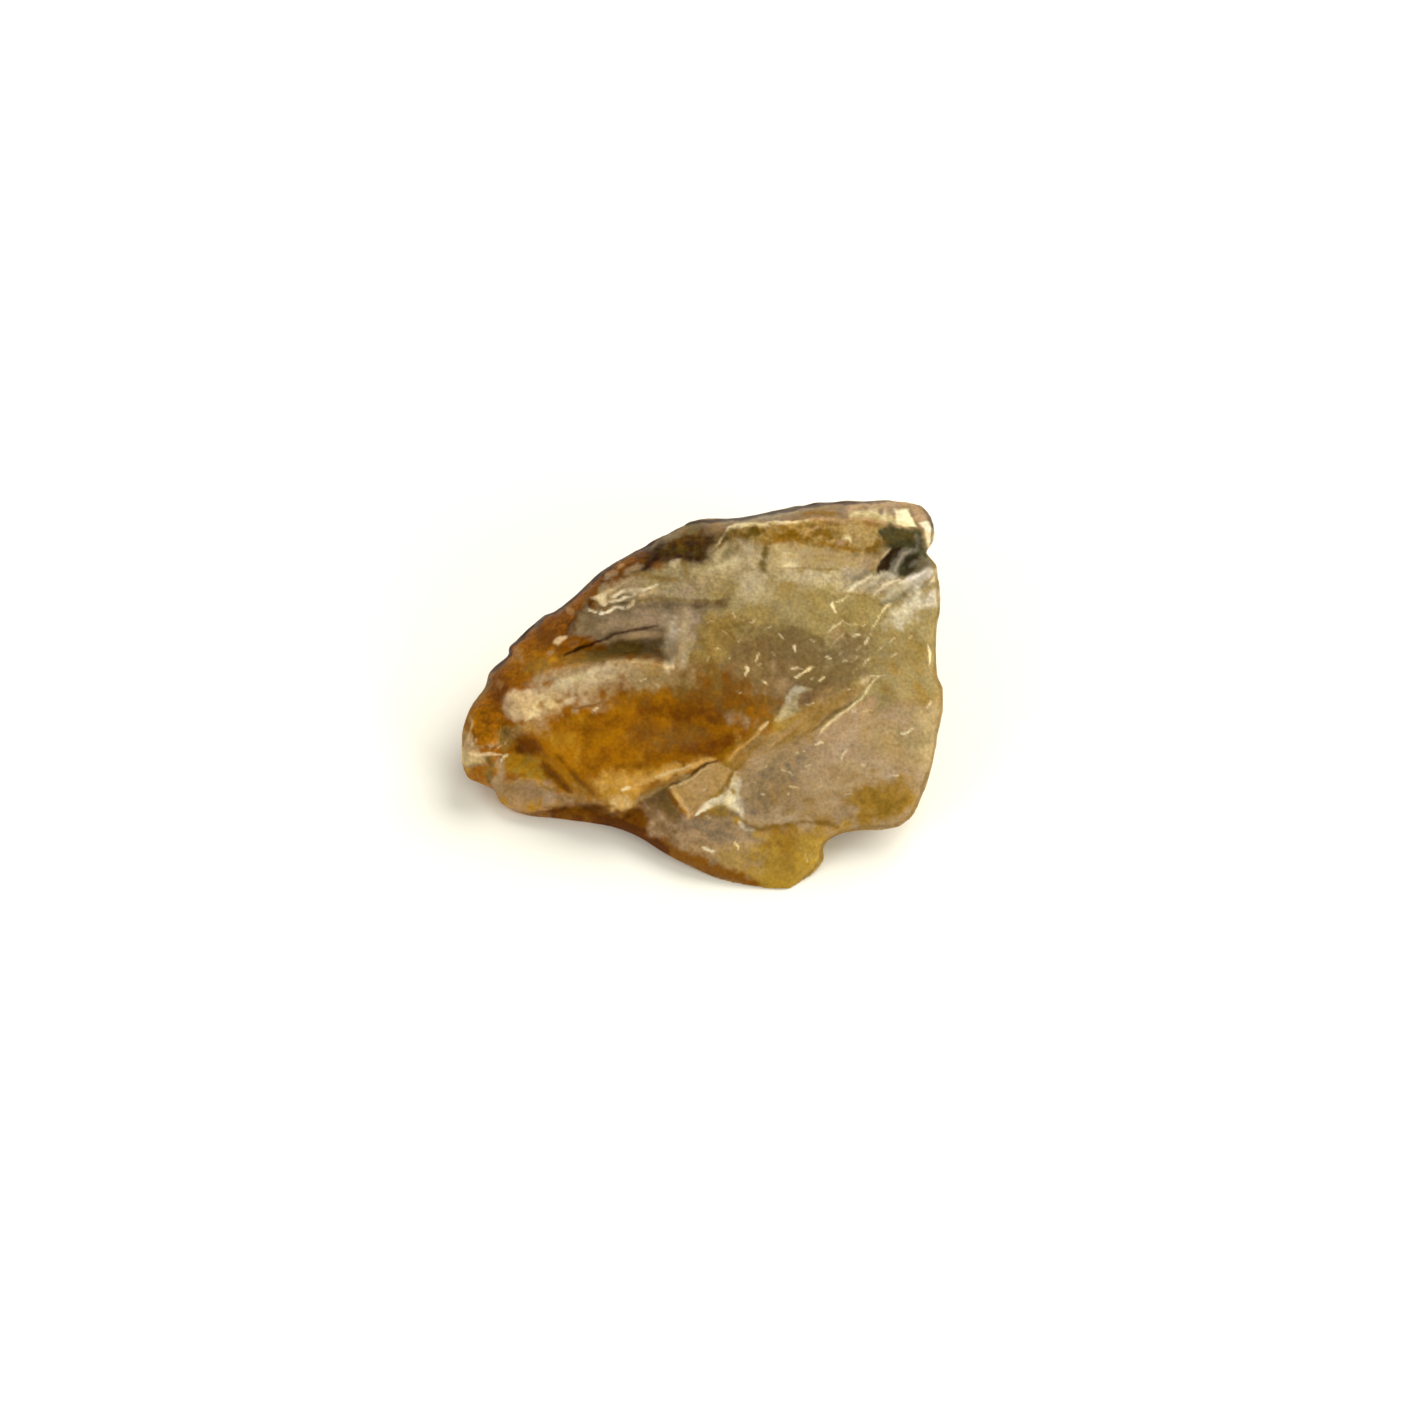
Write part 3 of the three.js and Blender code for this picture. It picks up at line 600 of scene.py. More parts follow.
        (612, 584), (592, 594), (580, 618), (566, 640), (530, 668), (512, 686), (500, 700), (498, 730),
        grain=(45, 9, 7), crust=0.7),
    area("slope's amber", "amber_light/rust", 9, 0.95,
        (505, 660), (530, 640), (552, 640), (560, 655), (530, 672), (510, 684), (500, 676),
        grain=(40, 10, 6), crust=0.5),
    area("slope's dark rust", "rust_dark/dark_rust", 7, 0.25,
        (484, 690), (502, 664), (512, 678), (504, 700), (497, 730), (490, 735), (482, 712),
        grain=(75, 8, 5), crust=0.6),
    line("slope's upper brown", "dark_brown", 9, 6, 0.8,
        (594, 598), (586, 611), (576, 625), (567, 636), crust=0.6),
    area("slope's lower olive", "olive_gold/window_olive", 7, 0.8,
        (520, 668), (560, 652), (600, 648), (585, 662), (545, 670), (524, 680), grain=(18, 14, 4)),
    area("slope's blotch", "rust_dark", 6, 0.8, (538, 628), (550, 624), (556, 640), (546, 650), (538, 642)),
    line("slope's first pink spot", "pink", 4.5, 4, 0.45, (567, 607), (571, 610), (574, 614)),
    line("slope's second pink spot", "blob", 4, 3, 1, (555, 643), (561, 640), (568, 637), lift=0.04),
    line("slope's streak", "pink", 4, 4, 0.6, (570, 646), (575, 644), (580, 642)),
    line("slope's third pink spot", "pink", 4, 3, 0.8, (547, 655), (551, 653), (554, 651)),
    line("slope's fourth pink spot", "pink", 7, 6, 0.5, (516, 650), (520, 656), (523, 662)),
    line("slope's fifth pink spot", "pink", 5, 5, 0.35, (497, 681), (500, 688)),
    line("slope's dark streak", "dark_rust", 8, 5, 0.8, (506, 686), (500, 698), (496, 714)),
    # The dark upper left edge.
    area("upper left ground", "cloud/olive_pale", 8, 1,
        (592, 596), (640, 568), (690, 556), (745, 545), (745, 612), (690, 612), (640, 606), (600, 616),
        grain=(12, 9, 6), crust=0.4),
    area("cream of the upper left", "cloud_light/cloud", 7, 0.3,
        (664, 574), (700, 568), (712, 580), (696, 592), (668, 588), grain=(10, 7, 5)),
    area("upper left edge", "dark_brown/black_brown", 5, 1,
        (618, 578), (632, 564), (656, 541), (684, 530), (708, 533), (716, 545), (708, 560), (690, 563),
        (662, 562), (648, 572), (632, 576), grain=(8, 7, 5), crust=0.6),
    area("black of the edge", "black_brown/olive_dark", 5, 0.9,
        (642, 562), (648, 553), (670, 546), (704, 546), (702, 552), (676, 557), grain=(3, 8, 5), crust=0.6),
    area("brown of the edge", "crust_dark/dark_brown", 5, 0.6,
        (662, 542), (684, 533), (706, 534), (704, 544), (672, 545), grain=(20, 8, 5), crust=0.6),
    area("grey of the edge", "edge_grey", 4, 0.7,
        (646, 550), (654, 540), (668, 531), (672, 536), (660, 545)),
    area("edge's strip", "edge_grey/olive_brown", 4, 0.8,
        (660, 538), (682, 523), (705, 516), (745, 514), (720, 528), (690, 533), (668, 540),
        grain=(20, 14, 4)),
    area("rusty spot band", "rust_dark/dark_brown", 5, 0.95,
        (598, 580), (620, 566), (648, 551), (646, 560), (625, 572), (603, 590), grain=(32, 6, 4), crust=0.4),
    line("first spot of the band", "crest_mauve", 7, 4, 0.5, (605, 578), (611, 574), (617, 570)),
    line("second spot of the band", "pink", 5, 3, 0.8, (618, 567), (621, 565), (624, 562)),
    line("third spot of the band", "crest_mauve", 8, 5, 0.5, (624, 574), (631, 570), (641, 566)),
    line("fourth spot of the band", "crest_mauve", 7, 5, 0.5, (612, 588), (620, 583), (634, 579)),
    line("pale spot under the black", "cloud_light", 8, 4, 0.9, (671, 566), (675, 562), (679, 560)),
    area("pale of the cloud", "cloud_light/cloud", 7, 0.6,
        (684, 572), (705, 566), (735, 566), (740, 580), (705, 590), (684, 588), grain=(10, 10, 4),
        crust=0.4),
    area("white of the cloud", "green_white/cloud_light", 5, 0.2,
        (688, 571), (698, 568), (712, 574), (710, 584), (694, 585), grain=(20, 6, 4)),
    area("second white of the cloud", "cloud_light/green_white", 5, 0.1,
        (654, 570), (668, 566), (682, 568), (680, 577), (660, 578), grain=(15, 6, 4)),
    line("third white of the cloud", "cloud_light", 8, 5, 0.3, (652, 587), (668, 584), (686, 585)),
    line("brown of the cloud", "olive_brown", 6, 5, 0.7, (681, 561), (685, 568), (688, 580), (700, 590)),
    line("second brown of the cloud", "olive_brown", 6, 5, 0.8,
        (638, 575), (652, 578), (666, 580), (680, 581)),
    line("third brown of the cloud", "olive_brown", 8, 5, 0.6, (706, 588), (714, 594), (728, 596)),
    # The mauve bands, the crinkled ledges and the dark window.
    area("mauve bands", "mauve/mauve_light", 5, 1,
        (574, 634), (586, 612), (600, 604), (640, 602), (700, 604), (700, 640), (668, 650), (600, 646),
        grain=(6, 26, 4)),
    area("dark of the bands", "mauve_dark/mauve", 5, 0.8,
        (605, 604), (640, 602), (725, 598), (722, 611), (660, 611), (612, 613), grain=(2, 18, 2.5)),
    area("dark left of the bands", "mauve_dark/mauve", 6, 0.7,
        (574, 636), (584, 612), (598, 606), (604, 620), (596, 636), grain=(20, 10, 3)),
    area("pale end of the bands", "crest_mauve/cloud_light", 6, 0.9,
        (662, 612), (690, 608), (694, 630), (684, 660), (672, 668), (663, 655), (664, 636),
        grain=(75, 10, 5)),
    area("streak of the pale end", "vein", 5, 0.5,
        (668, 628), (674, 618), (678, 634), (674, 646), (669, 644)),
    line("white of the pale end", "crinkle", 4, 3, 0.8, (667, 640), (669, 650), (673, 662), (674, 668)),
    line("grey beside the pale end", "mauve_dark", 4, 4, 0.5, (661, 628), (662, 640), (664, 652)),
    line("pale band", "mauve_light", 6, 4, 0.8, (598, 628), (625, 621), (650, 619), (672, 619)),
    # The window: its own dark olive, deepened with painted shade in the deep recess.
    area("window", "window/window_olive", 6, 1,
        (600, 648), (612, 643), (640, 641), (656, 641), (656, 652), (640, 656), (604, 659), (592, 660),
        grain=(4, 14, 5), lift=-0.08),
    area("window's left", "window_olive", 5, 0.8,
        (575, 660), (596, 648), (606, 650), (602, 661), (585, 664)),
    area("window's right", "mauve/olive_brown", 5, 0.55,
        (648, 642), (664, 640), (666, 655), (656, 664), (640, 663), grain=(70, 8, 3)),
    area("cream wall", "blob/crest", 4, 0.9,
        (664, 645), (670, 646), (676, 656), (677, 668), (671, 669), (666, 660), lift=0.05),
    # A painted soft shadow beside the crack.
    line("crack's painted shadow", "dark_brown", 3.2, 2.4, 0.8,
        (597, 642), (610, 635), (625, 631), (640, 628), (658, 624), lift=-0.06),
    line("crack", "black_brown", 2.8, 1.8, 0.9,
        (564, 655), (570, 653), (580, 649), (590, 645), (601, 640), lift=-0.2),
    line("second pale band", "crest_mauve", 7, 4, 0.7, (624, 637), (640, 635), (664, 633)),
    line("crack's upper lip", "rust_dark", 4, 3, 0.8, (556, 650), (570, 646), (582, 641), (592, 636)),
    area("crinkles' ground", "crest_mauve/mauve", 5, 0.7,
        (594, 597), (612, 590), (632, 583), (662, 586), (664, 597), (636, 604), (618, 610), (602, 606),
        grain=(15, 8, 4)),
    line("first crinkle", "crinkle", 3.4, 1.6, 1,
        (612, 597), (620, 592), (630, 589), (641, 589), (652, 587), (658, 585), lift=0.08),
    line("upper crinkle", "crest", 2.8, 1.6, 0.85,
        (598, 595), (606, 593), (613, 589), (620, 585), (628, 582), lift=0.06),
    area("first crinkle's root", "crinkle/crest", 1.6, 1,
        (590, 597), (597, 594), (606, 593), (604, 598), (607, 606), (602, 606), (597, 602),
        grain=(30, 5, 3), lift=0.06),
    line("second crinkle", "crinkle", 2.8, 1.6, 1,
        (609, 603), (615, 600), (622, 598), (629, 595), (636, 593), lift=0.08),
    line("third crinkle", "crinkle", 2.6, 1.6, 0.9, (612, 609), (617, 606), (624, 607), lift=0.06),
    line("loop of the third crinkle", "crest", 3, 1.6, 0.9, (625, 607), (631, 604), (634, 600), lift=0.05),
    line("fourth crinkle", "crest", 3, 3, 0.7, (640, 594), (650, 592), (662, 592), lift=0.04),
    line("fifth crinkle", "crinkle", 3, 1.6, 1, (587, 610), (591, 612), (596, 613), lift=0.06),
    line("sixth crinkle", "crinkle", 3, 1.6, 1, (599, 616), (605, 612), (613, 611), lift=0.06),
    line("crinkles' fade", "cloud_light", 6, 5, 0.6, (652, 590), (668, 592), (684, 596), (700, 600)),
    line("gap in the crinkles", "dark_brown", 2.2, 1.6, 0.7,
        (616, 597), (624, 595), (633, 594), lift=-0.06),
    line("second gap in the crinkles", "mauve_dark", 2.4, 1.6, 0.9,
        (606, 608), (612, 605), (620, 602), (628, 602), lift=-0.06),
    line("third gap in the crinkles", "mauve_brown", 3, 1.6, 1,
        (592, 604), (599, 608), (606, 610), (612, 607), lift=-0.04),
    line("brown line beside the crinkles", "olive_brown", 2.6, 2.4, 0.8,
        (636, 600), (660, 599), (684, 600), (722, 601), lift=-0.04),
    area("brown spot of the bands", "dark_brown/mauve_dark", 4, 0.7,
        (690, 600), (712, 598), (728, 600), (728, 605), (708, 607), (692, 605)),
    # The crest's top band, from the ridge to the edge.
    area("top strip", "strip_tan/strip_shade", 3, 1,
        (700, 534), (728, 530), (745, 524), (780, 523), (815, 517), (860, 518), (897, 522), (912, 526),
        (935, 526), (935, 490), (820, 490), (700, 510), grain=(6, 14, 4)),
    area("mauve of the strip", "strip_shade/cloud", 5, 0.85,
        (735, 512), (800, 502), (808, 508), (770, 522), (735, 524), grain=(10, 14, 3)),
    line("olive of the strip", "crust_dark", 4, 3, 0.85, (800, 514), (815, 512), (830, 513), (840, 513)),
    line("second olive of the strip", "olive_brown", 3, 3, 0.8, (815, 508), (830, 506), (845, 505)),
    area("pink of the strip", "pink_tan/tan", 5, 0.8,
        (845, 500), (915, 496), (916, 507), (850, 509), grain=(2, 14, 3)),
    area("yellow of the strip", "strip/cream", 3, 0.9,
        (852, 512), (870, 510), (897, 509), (897, 523), (875, 521), (852, 518), grain=(2, 12, 4)),
    # A painted reflection of the light: the bright cream patch at the strip's right end.
    area("painted reflection on the strip", "cream_patch/cream", 1.3, 1,
        (896, 508), (911, 507), (914, 516), (916, 525), (906, 526), (897, 522), grain=(80, 8, 5)),
    area("brown corner", "corner/pink_tan", 2, 1,
        (913, 503), (922, 506), (929, 518), (924, 522), (917, 519), (915, 511), grain=(-60, 6, 4)),
    area("pale corner", "corner_cream/blob", 1.8, 0.9,
        (919, 522), (930, 521), (934, 530), (934, 542), (929, 549), (925, 540), (925, 529),
        grain=(80, 6, 4)),
    # A painted highlight along the top ridge, where the edge catches the light.
    line("ridge line", "bright", 4.2, 2, 0.85,
        (715, 546), (722, 538), (730, 529), (737, 526), (750, 525), (765, 525), (780, 523), (800, 522),
        (812, 520), lift=0.05),
    line("ridge line's pink end", "pink_tan", 4, 2.4, 0.85,
        (808, 520), (825, 519), (840, 520), (870, 519), (890, 523), (910, 527), lift=0.03),
    # The golden crust and the pale band under the ridge.
    area("crust", "crust/crust_dark", 4, 1,
        (735, 530), (760, 526), (800, 523), (860, 521), (892, 526), (884, 542), (872, 552), (850, 554),
        (820, 549), (790, 543), (745, 546), (726, 540), grain=(4, 9, 4), crust=0.6),
    area("tan of the crust", "pale_band/tan", 5, 0.85,
        (842, 522), (886, 526), (880, 542), (866, 550), (852, 550), (850, 536), grain=(10, 7, 4), crust=0.4),
    area("crust's gold", "golden_brown/crust_dark", 5, 0.8,
        (772, 531), (800, 529), (806, 540), (790, 542), (770, 541), grain=(2, 8, 3), crust=0.5),
    line("pale arc in the crust", "pale_strip", 3, 2.4, 0.8,
        (804, 536), (808, 530), (816, 528), (822, 531), crust=0.4),
    line("gold under the crust", "golden_brown", 4, 3, 0.8,
        (818, 541), (832, 545), (846, 548), (860, 550), crust=0.4),
    line("dark patch under the ridge line", "olive_dark", 8, 5, 0.8,
        (721, 541), (728, 535), (737, 531), crust=0.5),
    area("left of the crust", "olive_brown/dark_brown", 6, 0.7,
        (706, 545), (722, 534), (740, 531), (748, 542), (730, 556), (710, 560), grain=(40, 10, 4),
        crust=0.4),
    line("first mark in the crust", "olive_dark", 9, 5, 0.9, (744, 538), (751, 532), (760, 534), crust=0.5),
    line("second mark in the crust", "crust_dark", 4, 4, 1, (779, 536), (788, 534), (801, 536), crust=0.5),
    line("third mark in the crust", "crust_dark", 5, 3, 0.9,
        (814, 535), (820, 531), (827, 534), (833, 537), lift=-0.04, crust=0.5),
    line("fourth mark in the crust", "crust_dark", 4, 3, 0.8,
        (866, 553), (872, 547), (880, 541), lift=-0.04, crust=0.5),
    line("fifth mark in the crust", "golden_brown", 4, 3, 0.7,
        (762, 545), (780, 541), (800, 543), lift=-0.04),
    line("pale spot in the crust", "cream", 6, 4, 0.8,
        (842, 540), (848, 537), (851, 541), lift=0.05, crust=0.5),
    line("second pale spot in the crust", "pink_tan", 6, 4, 0.8, (838, 544), (845, 541), crust=0.5),
    area("pale band", "pale_band/cloud_light", 4, 1,
        (768, 546), (790, 543), (820, 549), (850, 554), (866, 556), (864, 570), (850, 572), (800, 571),
        (770, 571), grain=(2, 24, 4)),
    area("light of the pale band", "green_white/pale_band", 4, 0.8,
        (770, 549), (797, 547), (800, 568), (772, 569), grain=(80, 9, 5)),
    area("gold of the pale band", "tan/crust", 5, 0.7,
        (812, 549), (866, 556), (862, 564), (816, 559), grain=(2, 12, 3)),
    line("first stria", "olive_brown", 1.8, 1.6, 0.7, (770, 569), (800, 568), (840, 570), (868, 568)),
    line("second stria", "tan", 1.8, 1.6, 0.6, (775, 556), (810, 555), (850, 557)),
    area("green white", "green_white/cloud_light", 6, 1,
        (772, 572), (810, 571), (850, 573), (872, 580), (876, 592), (858, 596), (830, 588), (800, 584),
        (776, 580), grain=(-8, 12, 6), crust=0.4),
    area("middle cloud", "cloud/cloud_light", 7, 1,
        (716, 548), (745, 545), (768, 547), (772, 572), (752, 582), (720, 578), (708, 566),
        grain=(75, 10, 6), crust=0.4),
    line("first light of the middle cloud", "green_white", 7, 6, 0.75,
        (708, 572), (718, 566), (730, 562), (742, 558)),
    line("second light of the middle cloud", "cloud_light", 7, 6, 0.7, (736, 570), (750, 560), (754, 548)),
    area("grey of the middle cloud", "edge_grey", 5, 0.6,
        (720, 548), (734, 545), (738, 554), (726, 560), (714, 558)),
    line("mark in the cloud", "olive_dark", 6, 4, 0.8, (765, 547), (765, 552), (764, 558)),
    line("second mark in the cloud", "olive_dark", 6, 4, 0.75, (765, 561), (763, 566), (764, 572)),
    line("streak in the cloud", "cloud_light", 5, 5, 0.8, (725, 544), (720, 552), (714, 562)),
    line("bright bit of the pale band", "cream", 3, 3, 0.7, (784, 566), (790, 564), (796, 566)),
    area("under the cloud", "crest_mauve/cloud", 7, 0.7,
        (690, 578), (712, 574), (722, 584), (708, 596), (688, 592), grain=(30, 7, 5), crust=0.4),
    area("brown under the cloud", "olive_brown/cloud", 6, 0.6,
        (716, 578), (736, 576), (742, 590), (730, 600), (716, 596), grain=(60, 8, 5)),
    area("white under the cloud", "green_white/cloud_light", 6, 0.7,
        (738, 574), (764, 574), (768, 596), (752, 604), (738, 594), grain=(70, 8, 5)),
    area("mauve in the cloud", "mauve_light/cloud", 6, 0.6,
        (650, 590), (690, 585), (700, 592), (690, 600), (655, 598), grain=(3, 12, 4), crust=0.4),
    area("ground above the crinkles", "mauve_light/cloud", 5, 0.8,
        (598, 590), (612, 581), (640, 578), (660, 584), (636, 590), grain=(10, 12, 5)),
    # The dark patch in the upper right corner.
    area("dark patch", "dark_green/dark_grey", 3.4, 1,
        (878, 530), (892, 524), (922, 531), (927, 545), (932, 556), (936, 568), (922, 577), (892, 578),
        (876, 576), (879, 564), (887, 551), (882, 540), grain=(40, 6, 4), crust=0.4),
    area("olive edge of the patch", "olive_dark/mauve_brown", 3.4, 0.7,
        (868, 552), (878, 540), (888, 541), (884, 552), (874, 556), grain=(50, 5, 3), crust=0.4),
    area("olive of the patch", "dark_green/olive_dark", 4, 0.8,
        (886, 530), (914, 529), (920, 540), (902, 545), (884, 541), grain=(10, 6, 4), crust=0.4),
    line("light spot of the patch", "mid_grey", 5, 4, 0.7, (916, 534), (919, 541), (917, 548)),
    area("brown of the patch", "crust_dark", 6, 0.6, (868, 544), (884, 540), (882, 552), (870, 556)),
    area("pale streak of the patch", "mauve_light/crest_mauve", 4, 0.8,
        (860, 556), (872, 556), (880, 562), (874, 570), (862, 570), grain=(60, 7, 3)),
    line("white of the pale streak", "blob", 3, 2.4, 0.8, (881, 561), (885, 554), (890, 548)),
    area("black blob", "black", 1.8, 0.95,
        (889, 549), (903, 546), (899, 556), (894, 565), (888, 575), (879, 577), (877, 568), (884, 558),
        lift=-0.05),
    area("black foot of the blob", "black", 3, 0.7, (877, 569), (887, 567), (888, 576), (879, 577)),
    line("grey streak of the patch", "mid_grey", 9, 3, 1,
        (893, 577), (896, 566), (901, 557), (908, 551), (918, 549), lift=0.04),
    line("light of the grey streak", "white_streak", 3.4, 2.4, 0.6,
        (895, 572), (898, 563), (903, 555), (911, 550)),
    area("dark right of the patch", "dark_grey/black", 3, 1,
        (905, 557), (918, 553), (923, 560), (914, 573), (904, 574), grain=(50, 5, 4)),
    line("light in the dark", "mid_grey", 5, 4, 0.8, (910, 568), (917, 562), (921, 566)),
    area("grey edge of the patch", "mid_grey/edge_grey", 4, 0.8,
        (921, 558), (931, 554), (938, 572), (926, 578), (914, 576), grain=(60, 6, 4)),
    area("white under the patch", "white_streak/mauve_light", 5, 0.85,
        (844, 574), (862, 572), (878, 576), (896, 578), (904, 586), (892, 598), (872, 598), (852, 588),
        grain=(40, 8, 3), crust=0.4),
    line("grey in the white", "mid_grey", 5, 5, 0.5, (866, 592), (876, 584), (888, 578)),
    line("light in the white", "crinkle", 2.6, 2.4, 0.8, (874, 595), (886, 586), (898, 580)),
    line("second light in the white", "vein", 2.8, 2.6, 0.7, (848, 590), (860, 582), (872, 575)),
    line("second grey in the white", "mid_grey", 4, 4, 0.6, (852, 580), (862, 574), (872, 570)),
    line("third light in the white", "white_streak", 5, 4, 0.8, (872, 582), (884, 575), (894, 578)),
    line("first white streak", "white_streak", 11, 6, 1,
        (884, 601), (902, 588), (920, 579), (938, 571), lift=0.03),
    line("pink of the first white streak", "vein", 3.4, 3, 0.7, (898, 584), (912, 579), (926, 572)),
    line("bright end of the first white streak", "bright", 3, 3, 0.8,
        (930, 585), (934, 581), (937, 577), lift=0.04),
    line("gap between the white streaks", "mid_grey", 6, 6, 0.6,
        (878, 606), (895, 599), (912, 591), (932, 583)),
    area("second white streak", "white_streak/vein", 6, 0.85,
        (884, 624), (890, 610), (904, 600), (924, 590), (940, 584), (940, 606), (918, 612), (900, 626),
        grain=(35, 10, 4), lift=0.02),
    line("light of the second white streak", "crinkle", 2.6, 2.4, 0.85, (881, 613), (885, 608), (890, 603)),
    # The left nub and the folds beside it.
    area("nub", "nub_rust/orange_brown", 7, 1,
        (458, 730), (464, 712), (485, 698), (502, 706), (506, 742), (498, 750), (470, 748),
        grain=(70, 6, 5), crust=0.4),
    area("nub's red side", "rust_dark/dark_rust", 6, 0.35,
        (482, 704), (500, 702), (502, 730), (494, 738), (482, 726), grain=(80, 6, 4), crust=0.8),
    area("nub's left edge", "pink_patch/nub_cream", 3.4, 1,
        (456, 732), (466, 728), (474, 738), (480, 748), (470, 754), (456, 752), grain=(80, 5, 3), crust=0.5),
    area("nub's crumbs", "nub_cream/rust", 3, 0.8,
        (478, 746), (490, 742), (502, 740), (504, 748), (490, 750), grain=(20, 4, 3), crust=0.6),
    area("nub's cream", "nub_cream/cloud_light", 4, 1,
        (458, 750), (478, 750), (488, 757), (484, 766), (466, 768), (458, 764), grain=(10, 8, 4), crust=0.3),
    area("nub's foot", "nub_tan/rust", 2.4, 1,
        (462, 770), (470, 766), (485, 765), (487, 776), (482, 784), (466, 780), grain=(10, 7, 4), crust=0.3),
    line("nub's foot's edge", "strip_mauve", 2, 1.6, 0.8, (463, 768), (474, 766), (487, 765), lift=-0.05),
    line("nub's dark streak", "rust_dark", 3, 1.6, 0.6, (472, 729), (476, 735), (474, 742)),
    line("nub's second dark streak", "dark_brown", 3, 1.6, 0.4, (484, 746), (492, 748), (499, 744)),
    line("nub's light streak", "nub_cream", 3, 2.4, 0.7, (468, 715), (471, 722), (470, 730)),
    line("nub's pink line", "blob", 3.2, 2.2, 1, (468, 752), (478, 754), (488, 753), (501, 755), lift=0.05),
    area("nub's dark gap", "olive_dark/olive_brown", 3, 1,
        (486, 757), (492, 755), (493, 770), (491, 786), (486, 784), grain=(85, 8, 3), lift=-0.12),
    area("pale strip by the nub", "pale_strip/mauve_light", 4, 1,
        (493, 757), (502, 756), (507, 766), (504, 780), (498, 792), (492, 790), grain=(85, 10, 3),
        lift=0.05),
    area("speckled ground", "nub_tan/olive_brown", 4, 1,
        (498, 734), (510, 722), (530, 724), (516, 738), (508, 752), (500, 752), grain=(60, 4, 3), crust=0.5),
    area("cream under the blob", "pale_strip/nub_tan", 4, 0.85,
        (510, 726), (530, 720), (534, 730), (520, 738), (511, 738), grain=(30, 5, 3)),
    area("olive gold", "olive_gold/yellow_olive", 4, 1,
        (504, 758), (520, 752), (545, 758), (552, 770), (544, 779), (506, 776), grain=(0, 9, 6)),
    area("dark rust blob", "dark_rust/rust_dark", 4, 0.95,
        (513, 740), (524, 732), (534, 738), (544, 750), (536, 754), (518, 751), grain=(30, 6, 5)),
    line("streak from the dark rust blob", "rust_dark", 7, 5, 0.7,
        (534, 744), (545, 756), (554, 768), (564, 780)),
    area("folds", "fold_gold/amber_light", 5, 1,
        (540, 752), (560, 752), (580, 772), (600, 796), (590, 800), (560, 790), (544, 772),
        grain=(-45, 16, 3)),
    line("first dark fold", "fold_dark", 6, 5, 0.75,
        (543, 761), (553, 773), (563, 783), (572, 793), lift=-0.1),
    line("second dark fold", "fold_dark", 5, 5, 0.7,
        (558, 757), (572, 770), (583, 782), (593, 794), lift=-0.1),
    line("golden fold", "fold_gold", 3, 2.4, 0.9, (556, 762), (568, 775), (578, 786), lift=0.06),
    line("third dark fold", "olive_brown", 4, 4, 0.6, (540, 784), (549, 789), (558, 787)),
    area("honey under the folds", "tan/fold_gold", 3, 0.85, (574, 783), (588, 786), (592, 796), (578, 799)),
    # A bright fleck by the nub with its painted glint.
    line("glint by the nub", "bright", 2.6, 1.6, 1, (500, 761), (504, 757), (509, 755), lift=0.06),
    # The chip, the vein and the lobe's edges.
    area("chip", "chip/chip_shade", 1.6, 1,
        (668, 788), (690, 775), (714, 762), (734, 768), (722, 786), (706, 802), (689, 818), (680, 804),
        grain=(28, 14, 8)),
    area("chip's shade", "chip_shade", 8, 0.4,
        (676, 796), (700, 794), (712, 798), (700, 808), (690, 817), (683, 808)),
    line("chip's upper edge", "cream", 2, 1.6, 0.7, (668, 789), (690, 779), (706, 770), lift=0.05),
    # Painted shade in the groove under the amber scar's rim, over the chip.
    line("shaded groove over the chip", "dark_brown", 4, 2.6, 0.85,
        (656, 791), (670, 784), (686, 777), (702, 768), (716, 761), lift=-0.1),
    line("tan under the rim", "tan", 7, 4, 0.8, (634, 802), (650, 794), (668, 782), (690, 774)),
    line("groove's upper line", "golden_brown", 4, 3, 0.7, (640, 794), (652, 789), (664, 784), (680, 777)),
    line("rim's light", "rim_cream", 6, 3, 1,
        (626, 790), (645, 782), (662, 776), (680, 770), (700, 764), (714, 759), lift=0.05),
    line("rim's highlight", "cream", 2.6, 1.6, 0.9, (621, 791), (625, 790), (629, 788), lift=0.04),
    line("rim's second highlight", "cream", 1.8, 1.6, 0.6, (655, 778), (668, 773), (682, 768), (696, 764)),
    line("dark rim of the amber", "golden_brown", 4, 3, 0.8,
        (712, 758), (728, 751), (748, 737), (768, 720), lift=-0.06),
    line("light rim of the amber", "rim_cream", 3, 2.4, 0.8,
        (728, 761), (742, 747), (754, 737), (764, 722), lift=0.05),
    line("golden fleck of the rim", "cream", 2, 1.6, 0.7, (759, 730), (763, 726), (767, 720)),
    line("first line of the band", "pale_strip", 4, 2.4, 0.8,
        (744, 765), (765, 750), (782, 737), (800, 720), lift=0.03),
    line("second line of the band", "mauve_light", 3, 2.4, 0.6,
        (752, 768), (778, 752), (800, 736), lift=0.04),
    line("dark line of the band", "lobe_shade", 3, 2.4, 0.7,
        (752, 756), (775, 738), (800, 720), lift=-0.04),
    area("vein", "vein/cream", 1.8, 1,
        (735, 770), (740, 771), (733, 781), (731, 790), (737, 802), (744, 816), (742, 822), (732, 812),
        (722, 804), (706, 809), (714, 802), (724, 795), (729, 784), grain=(50, 6, 4), lift=0.05),
    line("vein's left branch", "vein", 4, 2.4, 1,
        (724, 797), (712, 804), (702, 809), (696, 815), lift=0.06),
    line("vein's right edge", "vein", 4, 3, 0.6, (738, 822), (746, 828), (756, 830)),
    area("grey triangle by the vein", "mid_grey/purple_grey", 3, 0.5,
        (712, 806), (724, 803), (736, 812), (742, 820), (724, 814)),
    line("lobe's pale left edge", "vein", 6, 5, 0.45, (739, 776), (736, 790), (738, 806), (744, 820)),
    # Painted soft shade along the arch at the lobe's foot.
    line("arch", "purple_brown", 6, 5, 0.7, (728, 813), (738, 817), (748, 825), (762, 829), lift=-0.04),
    line("first streak of the lower face", "pink_patch", 2.4, 2, 0.8, (692, 827), (699, 834), (707, 841)),
